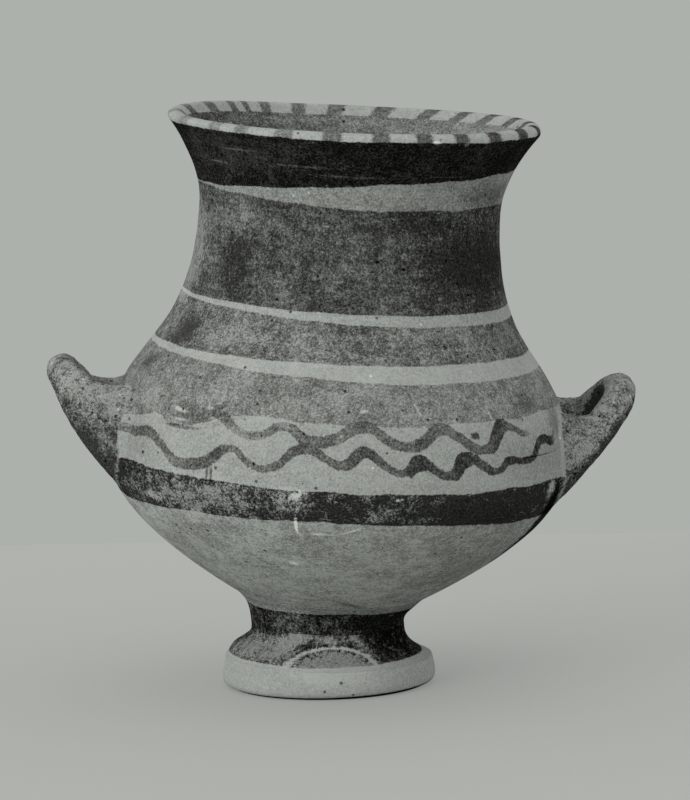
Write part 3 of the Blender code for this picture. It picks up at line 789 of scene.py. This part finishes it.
def below_edge(tree, where, height, tilt, bow, ragged):
    """1 below a brushed edge that runs round the pot, 0 above it."""
    tilted = add(tree, "Math", (where["sine"], tilt, height), "MULTIPLY_ADD")
    bowed = add(tree, "Math", (where["sine_squared"], bow, tilted), "MULTIPLY_ADD")
    return below_ragged(tree, where, bowed, ragged)


def below_ragged(tree, where, height, ragged):
    waved = add(tree, "Math", (where["ragged"], 6 * ragged, height), "MULTIPLY_ADD")
    frayed = add(tree, "Math", (where["fray"], 2 * ragged, waved), "MULTIPLY_ADD")
    depth = add(tree, "Math", (frayed, where["height"]), "SUBTRACT")
    return add(tree, "Math", (depth, 4.0, 0.5), "MULTIPLY_ADD", use_clamp=True)


def mark(tree, where, angle, height, half_angle, half_height, turn, softness):
    """1 inside a rough oval on the surface, 0 outside it."""
    flat = add(
        tree, "Mapping",
        {
            "Vector": where["map"], "Location": (angle, height, 0), "Rotation": (0, 0, math.radians(turn)),
            "Scale": (half_angle, half_height, 1),
        },
        vector_type="TEXTURE",
    )
    distance = add(tree, "VectorMath", (flat,), "LENGTH").outputs["Value"]
    frayed = add(tree, "Math", (where["fray"], 1.6, distance), "MULTIPLY_ADD")
    inside = add(tree, "Math", (1.0, frayed), "SUBTRACT")
    return add(tree, "Math", (inside, 1 / softness), "MULTIPLY", use_clamp=True)


def curve_through(node, points, handle):
    """Give a Float Curve node the points, each 0 to 1 both ways."""
    knots = node.mapping.curves[0].points
    for place, (x, y) in enumerate(points):
        knot = knots[place] if place < 2 else knots.new(x, y)
        knot.location = (x, y)
    for knot in knots:
        knot.handle_type = handle
    node.mapping.update()


def curve_at(tree, where, points, column, start, span, ahead=0.0):
    """The height or width of a traced stroke at the point's angle, or some degrees ahead of it."""
    share = add(tree, "Math", (where["folded"], 1 / 180, (90 + ahead) / 180), "MULTIPLY_ADD")
    curve = add(tree, "FloatCurve", {"Value": share})
    spots = [((point[0] + 90) / 180, (point[column] - start) / span) for point in points]
    curve_through(curve, spots, "AUTO")
    return add(tree, "Math", (curve, span, start), "MULTIPLY_ADD")


def wavy_line(tree, where, points, first, last, brush):
    """A brush stroke that waves round the pot between two angles: 1 on it, and its width in millimetres."""
    width = curve_at(tree, where, points, 2, 0.0, WIDTH_SPAN)
    distance = 9.0
    for aside in (-1.8, -1.2, -0.6, 0.0, 0.6, 1.2, 1.8):
        ahead = math.degrees(aside * MM / BELLY_RADIUS)
        level = curve_at(tree, where, points, 1, WAVE_FLOOR, WAVE_SPAN, ahead)
        off = add(tree, "Math", (where["height"], level), "SUBTRACT")
        flat = add(tree, "CombineXYZ", (off, aside))
        reach = add(tree, "VectorMath", (flat,), "LENGTH").outputs["Value"]
        distance = add(tree, "Math", (reach, distance), "MINIMUM")
    waved = add(tree, "Math", (where["ragged"], 0.8, distance), "MULTIPLY_ADD")
    frayed = add(tree, "Math", (where["fray"], 1.1, waved), "MULTIPLY_ADD")
    margin = add(tree, "Math", (width, brush / 2, 0.0), "MULTIPLY_ADD")
    within = add(tree, "Math", (margin, frayed), "SUBTRACT")
    stroke = add(tree, "Math", (within, 3.5, 0.6), "MULTIPLY_ADD", use_clamp=True)
    started = add(tree, "Math", (where["folded"], 0.5, -0.5 * first), "MULTIPLY_ADD", use_clamp=True)
    ended = add(tree, "Math", (where["folded"], -0.3, 0.3 * last), "MULTIPLY_ADD", use_clamp=True)
    drawn = add(tree, "Math", (started, ended), "MULTIPLY")
    return add(tree, "Math", (stroke, drawn), "MULTIPLY"), width


def lip_strokes(tree, where, way):
    """1 on the short strokes that cross the lip, which slant a little on the inner side."""
    slope = add(tree, "Math", (where["sine"], -1.1, -0.4), "MULTIPLY_ADD")
    inwards = add(tree, "Math", (way, 0.0), "MAXIMUM")
    slanted = add(tree, "Math", (inwards, slope, where["angle"]), "MULTIPLY_ADD")
    turned = add(tree, "Math", (slanted, 360.0, 0.0), "WRAP")
    share = add(tree, "Math", (turned, 1 / 360), "MULTIPLY")
    count = len(LIP_STROKES)
    gap = LIP_STROKES[0] + 360 - LIP_STROKES[-1]
    start = 0.5 - LIP_STROKES[0] / gap
    spots = [(0.0, start)] + [(angle / 360, place + 0.5) for place, angle in enumerate(LIP_STROKES)]
    spots.append((1.0, count + start))
    curve = add(tree, "FloatCurve", {"Value": share})
    curve_through(curve, [(x, y / (count + 1)) for x, y in spots], "VECTOR")
    counted = add(tree, "Math", (curve, count + 1.0), "MULTIPLY")
    phase = add(tree, "Math", (counted,), "FRACT")
    centred = add(tree, "Math", (phase, 0.5), "SUBTRACT")
    aside = add(tree, "Math", (centred,), "ABSOLUTE")
    frayed = add(tree, "Math", (where["fray"], 0.15, aside), "MULTIPLY_ADD")
    inside = add(tree, "Math", (0.19, frayed), "SUBTRACT")
    return add(tree, "Math", (inside, 12.0, 0.5), "MULTIPLY_ADD", use_clamp=True)


def laid(tree, mask, state, tones):
    """Paint laid over what is there, where mask is 1. A state of paint is its full tone, its rubbed tone, how
    much of it is rubbed and how sharply. What tones leaves out stays."""
    over = [
        add(tree, "Mix", {0: mask, 2: under, 3: tone}, data_type="FLOAT") for under, tone in zip(state, tones)
    ]
    return over + list(state[len(over):])


def changed(tree, inside, state, changes):
    """A state of paint with changes added where inside is 1."""
    over = [
        add(tree, "Math", (inside, change, under), "MULTIPLY_ADD") if change else under
        for under, change in zip(state, changes)
    ]
    return over + list(state[len(over):])


def laid_waves(tree, where, state, brush):
    """Lay both wavy lines over the ground: thicker paint where the brush pressed, and darker towards the
    right as painted shade.
    """
    for points, first, last, tone in WAVES:
        stroke, width = wavy_line(tree, where, points, first, last, brush)
        # Darker towards the right: painted shade
        slanted = add(tree, "Math", (where["sine"], -0.09, tone), "MULTIPLY_ADD")
        thick = add(tree, "Math", (width, -0.05, slanted), "MULTIPLY_ADD")
        thick_rubbed = add(tree, "Math", (thick, 0.19), "ADD")
        state = laid(tree, stroke, state, (thick, thick_rubbed))
    return state


def skin(tree, place):
    """The skin of the clay, in millimetres: how thin the paint lies, about 0, from blotches 10 mm, dabs
    2.5 mm, specks 0.6 mm and grit 0.3 mm wide; the grain alone, about 0; and the wheel's streaks, 1 mm
    high."""
    drawn_out = add(tree, "VectorMath", (place, (0.06, 0.06, 0.9)), "MULTIPLY")
    streaks = add(tree, "TexNoise", {"Vector": drawn_out, "Scale": 1.0, "Detail": 3.0, "Roughness": 0.6})
    thin = add(tree, "Math", (streaks, 2.4, -1.2), "MULTIPLY_ADD")
    grain = 0.0
    for scale, detail, wear, grains in ((0.10, 3.0, 4.5, 0.0), (0.40, 3.0, 3.6, 0.0), (1.5, 2.0, 4.5, 1.0),
                                        (3.4, 1.0, 3.0, 1.2)):
        cloud = add(tree, "TexNoise", {"Vector": place, "Scale": scale, "Detail": detail, "Roughness": 0.62})
        even = add(tree, "Math", (cloud, 0.5), "SUBTRACT")
        thin = add(tree, "Math", (even, wear, thin), "MULTIPLY_ADD")
        if grains:
            grain = add(tree, "Math", (even, grains, grain), "MULTIPLY_ADD")
    return thin, grain, streaks


def pits(tree, place, spacing, size, share, shift):
    """1 in small round pits that lie about spacing apart, in only a share of the places."""
    moved = add(tree, "VectorMath", (place, (shift, 0, 0)), "ADD")
    cells = add(tree, "TexVoronoi", {"Vector": moved, "Scale": 1 / spacing, "Randomness": 1.0})
    chance = add(tree, "SeparateColor", (cells.outputs["Color"],)).outputs[0]
    chosen = add(tree, "Math", (chance, share), "LESS_THAN")
    distance = cells.outputs["Distance"]
    near = add(tree, "Math", (distance, -2 * spacing / size, 2.0), "MULTIPLY_ADD", use_clamp=True)
    return add(tree, "Math", (near, chosen), "MULTIPLY")


def tone_colour(tree, tone, paint):
    """The colour of a tone: paint as it wears from thick to bare."""
    ramp = add(tree, "ValToRGB", {"Fac": tone})
    stops = ramp.color_ramp.elements
    steps = ((0.04, paint.deep_paint), (0.25, paint.dark_paint), (0.40, paint.worn_paint),
             (0.55, paint.thin_paint), (0.70, paint.pale_clay), (0.88, paint.fresh_clay))
    for place, (position, shade) in enumerate(steps):
        stop = stops[place] if place < 2 else stops.new(position)
        stop.position = position
        stop.color = (*shade, 1.0)
    return ramp


def new_material(name):
    """A material whose nodes are cleared but for its shader and output."""
    material = bpy.data.materials.new(name)
    material.use_nodes = True
    return material, material.node_tree, material.node_tree.nodes["Principled BSDF"]


def brushed_bands(tree, where, bands, state):
    """Lay painted bands over what is there."""
    for name, *tones, height, tilt, bow, ragged in bands:
        if height:
            mask = below_edge(tree, where, height, tilt, bow, ragged)
        else:
            edge = curve_at(tree, where, WASH_EDGE, 1, WAVE_FLOOR, WAVE_SPAN)
            mask = below_ragged(tree, where, edge, ragged)
        mask.label = name
        state = laid(tree, mask, state, tones)
    return state


def worn_tone(tree, state, thin):
    """The tone of paint that is rubbed where it lies thin."""
    full, rubbed, wear, sharp = state
    uncovered = add(tree, "Math", (thin, wear), "ADD")
    share = add(tree, "Math", (uncovered, sharp, 0.5), "MULTIPLY_ADD", use_clamp=True)
    return add(tree, "Mix", {0: share, 2: full, 3: rubbed}, data_type="FLOAT")


def matt_clay(
    tree, shader, where, tone, grain, streaks, paint, spacing, darkness, pit_depth, streak_height, relief
):
    """Matt fired clay from a worn tone: small dark pits, pale chips and the clay's own grain. Paint is a
    little closer than bare clay. The relief is in metres for a grain of 1."""
    dark_pits = pits(tree, where["place"], spacing, 0.5, 0.35, 0.0)
    pale_chips = pits(tree, where["place"], 1.2 * spacing, 0.45, 0.3, 40.0)
    tone = add(tree, "Math", (dark_pits, -darkness, tone), "MULTIPLY_ADD")
    tone = add(tree, "Math", (pale_chips, 0.18, tone), "MULTIPLY_ADD")
    dull = add(tree, "Math", (tone, -1.3, 0.95), "MULTIPLY_ADD")
    gain = add(tree, "Math", (dull, 0.30), "MINIMUM")
    tone = add(tree, "Math", (grain, gain, tone), "MULTIPLY_ADD")
    hollow = add(tree, "Math", (dark_pits, -pit_depth, grain), "MULTIPLY_ADD")
    height = add(tree, "Math", (streaks, streak_height, hollow), "MULTIPLY_ADD")
    rough = add(tree, "Math", (tone, 0.20, 0.56), "MULTIPLY_ADD")
    bump = add(tree, "Bump", {"Strength": 1.0, "Distance": relief, "Height": height})
    tree.links.new(tone_colour(tree, tone, paint).outputs["Color"], shader.inputs["Base Color"])
    tree.links.new(rough.outputs[0], shader.inputs["Roughness"])
    tree.links.new(bump.outputs[0], shader.inputs["Normal"])
    shader.inputs["Specular IOR Level"].default_value = 0.0


def painted_body(paint):
    """Burnished buff earthenware under matt slip paint: broad washes worn through to the clay, crisp reserved
    lines and quick wavy strokes. It gives the eye mottled greys between clean-edged bands, with no gloss.
    Some
    tones also hold painted light and shade: darker towards the right outside and towards the left inside."""
    material, tree, shader = new_material("matt_slip_paint_on_burnished_earthenware")
    where = chart(tree, LEANING @ Vector((0, 0, 0)), LEAN)
    way_metres = add(tree, "Attribute", attribute_name="profile_way").outputs["Fac"]
    way = add(tree, "Math", (way_metres, 1 / MM), "MULTIPLY")
    thin, grain, streaks = skin(tree, where["place"])

    strokes = lip_strokes(tree, where, way)
    inside = add(tree, "Math", (way, 0.6), "MULTIPLY", use_clamp=True)
    # Outside the lip, the strokes darken towards the right: painted shade
    slant = add(tree, "Math", (inside, 0.15, -0.15), "MULTIPLY_ADD")
    darker = add(tree, "Math", (where["sine"], slant, -0.27), "MULTIPLY_ADD")
    full = add(tree, "Math", (strokes, darker, 0.60), "MULTIPLY_ADD")
    paler = add(tree, "Math", (where["sine"], slant, -0.22), "MULTIPLY_ADD")
    rubbed = add(tree, "Math", (strokes, paler, 0.66), "MULTIPLY_ADD")
    state = brushed_bands(tree, where, BANDS, (full, rubbed, 0.0, 0.35))
    state = laid_waves(tree, where, state, paint.brush)

    inner = add(tree, "Math", (way, 3.0, 0.5), "MULTIPLY_ADD", use_clamp=True)
    state = laid(tree, inner, state, (full, rubbed, 0.0))
    lining = add(tree, "Math", (way, 3.0, -11.1), "MULTIPLY_ADD", use_clamp=True)
    # The lining darkens towards the left, where the inner wall lies in shade: painted shade
    lining_full = add(tree, "Math", (where["sine"], 0.12, 0.30), "MULTIPLY_ADD")
    lining_rubbed = add(tree, "Math", (where["sine"], 0.04, 0.53), "MULTIPLY_ADD")
    state = laid(tree, lining, state, (lining_full, lining_rubbed))
    unpainted = add(tree, "Math", (way, 0.4, -10.0), "MULTIPLY_ADD", use_clamp=True)
    state = laid(tree, unpainted, state, (0.46, 0.58))
    for *place, change, rubbing in MARKS:
        state = changed(tree, mark(tree, where, *place), state, (change, change, rubbing))
    worn = worn_tone(tree, state, thin)
    matt_clay(tree, shader, where, worn, grain, streaks, paint, 3.6, 0.30, 2.0, 1.4, 0.00012)
    return material


def painted_foot(paint):
    """The same earthenware: a dark painted stem rubbed pale on its bulge, a bare pale edge, and the light
    line of an old mend. It gives the eye a dark smoky neck over a clean bright ring."""
    material, tree, shader = new_material("rubbed_slip_paint_on_earthenware_foot")
    where = chart(tree, FOOT_AXIS, 0.0)
    thin, grain, streaks = skin(tree, where["place"])
    state = (0.08, 0.52, -0.95, 0.36)
    for *place, rubbing in FOOT_RUBS:
        state = changed(tree, mark(tree, where, *place), state, (0.08 * rubbing, 0, rubbing))
    state = changed(tree, mark(tree, where, *MEND_PLACE, 26.0, 4.4, 0, 0.3), state, (0.24, 0, 2.6))
    state = laid(tree, below_edge(tree, where, 8.3, -0.5, 0.4, 0.15), state, (0.61, 0.66))
    # Black below 0.75 mm: painted shadow in the gap under the foot's edge
    state = laid(tree, below_edge(tree, where, 0.75, 0.35, 0.0, 0.03), state, (0.0, 0.0))
    worn = worn_tone(tree, state, thin)

    flat = add(
        tree, "Mapping", {"Vector": where["map"], "Location": (*MEND_PLACE, 0), "Scale": (27.5, 4.6, 1)},
        vector_type="TEXTURE",
    )
    reach = add(tree, "VectorMath", (flat,), "LENGTH").outputs["Value"]
    off = add(tree, "Math", (reach, 1.0), "SUBTRACT")
    near = add(tree, "Math", (off,), "ABSOLUTE")
    frayed = add(tree, "Math", (where["fray"], 0.25, near), "MULTIPLY_ADD")
    line = add(tree, "Math", (frayed, -10.0, 1.3), "MULTIPLY_ADD", use_clamp=True)
    above = add(tree, "Math", (where["height"], 1.0, -7.0), "MULTIPLY_ADD", use_clamp=True)
    mend = add(tree, "Math", (line, above), "MULTIPLY")
    mended = add(tree, "Mix", {0: mend, 2: worn, 3: 0.66}, data_type="FLOAT")
    matt_clay(tree, shader, where, mended, grain, streaks, paint, 4.2, 0.30, 2.0, 1.4, 0.00012)
    return material


def painted_join(paint):
    """Clay luted into the groove over the stem and painted with it: nearly black paint, darker still on the
    right as painted shade, with rubbed spots, and bare above the brush's edge."""
    material, tree, shader = new_material("dark_slip_paint_and_painted_shade_on_luted_clay")
    where = chart(tree, LEANING @ Vector((0, 0, 0)), LEAN)
    thin, grain, streaks = skin(tree, where["place"])
    state = (0.44, 0.58, -1.0, 0.42)
    state = changed(tree, mark(tree, where, -28.0, 19.0, 24.0, 6.0, 0, 0.9), state, (0, 0, 1.2))
    # Less rubbed, so darker, towards the right: painted shade
    state = changed(tree, mark(tree, where, 50.0, 18.0, 54.0, 8.0, 0, 0.7), state, (0, 0, -1.2))
    state = laid(tree, below_edge(tree, where, 21.6, 0.6, 0.0, 0.3), state, (0.06, 0.42))
    worn = worn_tone(tree, state, thin)
    matt_clay(tree, shader, where, worn, grain, streaks, paint, 4.2, 0.20, 0.0, 1.4, 0.00012)
    return material


def speckled_handle(paint, name, low_wear, tip_wear, low_clay, tip_clay, underside, edge):
    """Hand-rolled earthenware whose paint has flaked to specks: the skin is gritty, paler on top and darker
    on its lower outer side, partly from rubbing hands and partly as painted light and shade, and black on
    the loop's inner side as painted shade. It gives the eye salt-and-pepper clay that fades into the belly."""
    material, tree, shader = new_material(name)
    where = chart(tree, LEANING @ Vector((0, 0, 0)), LEAN)
    thin, grain, streaks = skin(tree, where["place"])
    upward, inward, proud = (
        add(tree, "Attribute", attribute_name=layer).outputs["Fac"] for layer in ("upward", "inward", "proud")
    )
    high = add(tree, "Math", (where["height"], 1 / 16, -60 / 16), "MULTIPLY_ADD", use_clamp=True)
    # Darker on the lower outer side, and so paler on top: partly paint and partly painted shade
    lower = add(tree, "Math", (upward, -1.8, -0.05), "MULTIPLY_ADD")
    lower = add(tree, "Math", (high, -0.6, lower), "MULTIPLY_ADD")
    outer = add(tree, "Math", (inward, -1.5, lower), "MULTIPLY_ADD", use_clamp=True)
    # Black on the loop's inner side below its top: painted shade in the hole between the rods
    shade_in_hole = add(tree, "Math", (upward, -2.5, -1.9), "MULTIPLY_ADD")
    shade_in_hole = add(tree, "Math", (where["fray"], 4.0, shade_in_hole), "MULTIPLY_ADD")
    inside = add(tree, "Math", (inward, 3.0, shade_in_hole), "MULTIPLY_ADD", use_clamp=True)
    wear = add(tree, "Math", (high, tip_wear - low_wear, low_wear), "MULTIPLY_ADD")
    wear = add(tree, "Math", (outer, -underside, wear), "MULTIPLY_ADD")
    wear = add(tree, "Math", (inside, -3.6, wear), "MULTIPLY_ADD")
    clay = add(tree, "Math", (high, tip_clay - low_clay, low_clay), "MULTIPLY_ADD")

    state = brushed_bands(tree, where, HANDLE_BANDS, (0.37, 0.57, 0.0, 0.35))
    state = laid_waves(tree, where, state, paint.brush)
    past = add(tree, "Math", (proud, 1 / MM, -edge), "MULTIPLY_ADD")
    wavered = add(tree, "Math", (where["ragged"], 4.0, past), "MULTIPLY_ADD")
    frayed = add(tree, "Math", (where["fray"], 1.2, wavered), "MULTIPLY_ADD")
    flaked = add(tree, "Math", (frayed, 2.5, 0.5), "MULTIPLY_ADD", use_clamp=True)
    near = add(tree, "Math", (frayed,), "ABSOLUTE")
    broken = add(tree, "Math", (where["fray"], 3.0, 1.1), "MULTIPLY_ADD")
    ridge = add(tree, "Math", (near, -3.0, broken), "MULTIPLY_ADD", use_clamp=True)
    state = laid(tree, flaked, state, (0.20, clay, wear, 0.38))
    state = changed(tree, ridge, state, (0.22, 0, 1.6))
    worn = worn_tone(tree, state, thin)
    matt_clay(tree, shader, where, worn, grain, streaks, paint, 2.0, 0.25, 1.5, 0.0, 0.00016)
    return material


# Operators, one for each piece or pair of like pieces

class AMPHORISKOS_OT_body(bpy.types.Operator):
    """Throw the leaning body and paint its bands, wavy lines and lip strokes"""

    bl_idname = "amphoriskos.body"
    bl_label = "Pot body"

    def execute(self, context):
        scene = context.scene
        shape = body_shape(scene.pot_shape)
        finished("pot_body", shape, painted_body(scene.pot_paint), ["body"])
        return {"FINISHED"}


class AMPHORISKOS_OT_foot(bpy.types.Operator):
    """Turn the foot and its short stem"""

    bl_idname = "amphoriskos.foot"
    bl_label = "Foot"

    def execute(self, context):
        scene = context.scene
        shape = foot_shape(scene.pot_shape)
        finished("pot_foot", shape, painted_foot(scene.pot_paint), ["foot"])
        return {"FINISHED"}


class AMPHORISKOS_OT_foot_join(bpy.types.Operator):
    """Press clay into the groove between the stem and the bowl"""

    bl_idname = "amphoriskos.foot_join"
    bl_label = "Foot join"

    def execute(self, context):
        material = painted_join(context.scene.pot_paint)
        finished("foot_join", foot_join_shape(), material, ["foot_luting_ring"])
        return {"FINISHED"}


class AMPHORISKOS_OT_handles(bpy.types.Operator):
    """Roll both handles and smear their roots over the belly"""

    bl_idname = "amphoriskos.handles"
    bl_label = "Handles"

    def execute(self, context):
        scene = context.scene
        for name, side, reach, rise, radius, front_web, back_web, low_web, *finish in HANDLES:
            shape = handle_shape(side, reach, rise, radius, (front_web, back_web, low_web), scene.pot_shape)
            material = speckled_handle(scene.pot_paint, "flaked_slip_paint_on_rolled_" + name, *finish)
            nodes = [name, name + "_front_root", name + "_back_root"]
            finished(name + "_skin", shape, material, nodes)
        return {"FINISHED"}


def soft_lamp(name, place, size, power):
    """A square soft lamp that faces the pot's middle."""
    data = bpy.data.lights.new(name, "AREA")
    data.size = size
    data.energy = power
    lamp = bpy.data.objects.new(name, data)
    lamp.location = place
    aim = Vector((0, 0, 0.08)) - Vector(place)
    lamp.rotation_euler = aim.to_track_quat("-Z", "Y").to_euler()
    bpy.context.scene.collection.objects.link(lamp)


class AMPHORISKOS_OT_stage(bpy.types.Operator):
    """Set up the table, the soft light and the camera"""

    bl_idname = "amphoriskos.stage"
    bl_label = "Stage"

    def execute(self, context):
        scene = context.scene
        settings = scene.pot_stage
        self.table(settings)
        self.sky(scene, settings)
        soft_lamp("key_lamp", (-2.4, -2.0, 1.04), 1.9, settings.key_power)
        soft_lamp("fill_lamp", (1.6, -0.9, 0.9), 1.2, settings.fill_power)
        self.camera(scene)
        scene.view_settings.view_transform = "Standard"
        return {"FINISHED"}

    def table(self, settings):
        """A smooth opal table top, lit a little from below, whose back edge shows behind the pot."""
        shape = bmesh.new()
        bmesh.ops.create_cube(shape, size=1.0)
        bmesh.ops.scale(shape, vec=TABLE_SIZE, verts=shape.verts)
        bmesh.ops.translate(shape, vec=(0, -TABLE_SIZE.y / 2, -TABLE_SIZE.z / 2), verts=shape.verts)
        bmesh.ops.bevel(
            shape, geom=shape.edges[:], offset=0.002, offset_type="OFFSET", segments=3, profile=0.5,
            material=-1, affect="EDGES",
        )
        turned = Matrix.Translation((FOOT_AXIS.x, TABLE_BACK, 0)) @ Matrix.Rotation(TABLE_TURN, 4, "Z")
        bmesh.ops.transform(shape, matrix=turned, verts=shape.verts)
        mesh = bpy.data.meshes.new("table")
        shape.to_mesh(mesh)
        shape.free()
        mesh.shade_smooth()
        material, tree, shader = new_material("matt_opal_table")
        here = add(tree, "TexCoord").outputs["Object"]
        fibres = add(tree, "TexNoise", {"Vector": here, "Scale": 9.0, "Detail": 3.0})
        pale = (*settings.table_colour, 1.0)
        deeper = (*[level * 0.95 for level in settings.table_colour], 1.0)
        mixed = add(tree, "Mix", {0: fibres, 6: deeper, 7: pale}, data_type="RGBA")
        tree.links.new(mixed.outputs[2], shader.inputs["Base Color"])
        shader.inputs["Roughness"].default_value = 0.9
        shader.inputs["Specular IOR Level"].default_value = 0.1
        glow = add(tree, "Emission", {"Color": (*settings.backdrop_colour, 1.0), "Strength": 1.0})
        share = add(tree, "Math", (self.any_seen(tree), 0.45), "MULTIPLY")
        seen = add(tree, "MixShader", (share, shader.outputs[0], glow))
        tree.links.new(seen.outputs[0], tree.nodes["Material Output"].inputs["Surface"])
        mesh.materials.append(material)
        table = bpy.data.objects.new("table", mesh)
        bpy.context.scene.collection.objects.link(table)

    def any_seen(self, tree):
        """1 for rays from the camera, straight or by way of gloss or glass."""
        rays = add(tree, "LightPath").outputs
        clear = add(tree, "Math", (rays["Is Camera Ray"], rays["Is Glossy Ray"]), "ADD")
        return add(tree, "Math", (clear, rays["Is Transmission Ray"]), "ADD", use_clamp=True)

    def sky(self, scene, settings):
        """Even light from all round; the camera, gloss and glass see the backdrop's own colour."""
        world = bpy.data.worlds.new("studio")
        world.use_nodes = True
        tree = world.node_tree
        light = tree.nodes["Background"]
        light.inputs["Strength"].default_value = settings.sky_strength
        light.inputs["Color"].default_value = (1.0, 1.0, 1.0, 1.0)
        seen = add(tree, "Background", {"Color": (*settings.backdrop_colour, 1.0), "Strength": 1.0})
        mixed = add(tree, "MixShader", (self.any_seen(tree), light, seen))
        tree.links.new(mixed.outputs[0], tree.nodes["World Output"].inputs["Surface"])
        scene.world = world

    def camera(self, scene):
        """A long lens at the photographed angle, rolled a little."""
        data = bpy.data.cameras.new("camera")
        data.sensor_fit = "HORIZONTAL"
        data.sensor_width = SENSOR_WIDTH
        data.lens = FOCAL_PIXELS * SENSOR_WIDTH / PHOTO_WIDTH
        data.clip_end = 20.0
        camera = bpy.data.objects.new("camera", data)
        look = (CAMERA_AIM - CAMERA_PLACE).to_track_quat("-Z", "Y") @ Quaternion((0, 0, 1), CAMERA_ROLL)
        camera.location = CAMERA_PLACE
        camera.rotation_euler = look.to_euler()
        scene.collection.objects.link(camera)
        scene.camera = camera


class AMPHORISKOS_PT_panel(bpy.types.Panel):
    """Every step of the pot, with its settings"""

    bl_idname = "AMPHORISKOS_PT_panel"
    bl_label = "Amphoriskos"
    bl_space_type = "VIEW_3D"
    bl_region_type = "UI"
    bl_category = "Amphoriskos"

    def draw(self, context):
        for operator in OPERATORS:
            self.layout.operator(operator.bl_idname)
        for settings in (context.scene.pot_shape, context.scene.pot_paint, context.scene.pot_stage):
            box = self.layout.box()
            for name in type(settings).__annotations__:
                box.prop(settings, name)


OPERATORS = (
    AMPHORISKOS_OT_body,
    AMPHORISKOS_OT_foot,
    AMPHORISKOS_OT_foot_join,
    AMPHORISKOS_OT_handles,
    AMPHORISKOS_OT_stage,
)
SETTINGS = {"pot_shape": PotShape, "pot_paint": PotPaint, "pot_stage": PotStage}


def register():
    for settings in (*SETTINGS.values(), *OPERATORS, AMPHORISKOS_PT_panel):
        bpy.utils.register_class(settings)
    for name, settings in SETTINGS.items():
        setattr(bpy.types.Scene, name, PointerProperty(type=settings))


def unregister():
    for name in SETTINGS:
        delattr(bpy.types.Scene, name)
    for settings in (AMPHORISKOS_PT_panel, *OPERATORS[::-1], *SETTINGS.values()):
        bpy.utils.unregister_class(settings)


def main():
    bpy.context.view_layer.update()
    register()
    bpy.ops.amphoriskos.body()
    bpy.ops.amphoriskos.foot()
    bpy.ops.amphoriskos.foot_join()
    bpy.ops.amphoriskos.handles()
    bpy.ops.amphoriskos.stage()


if __name__ == "__main__":
    main()
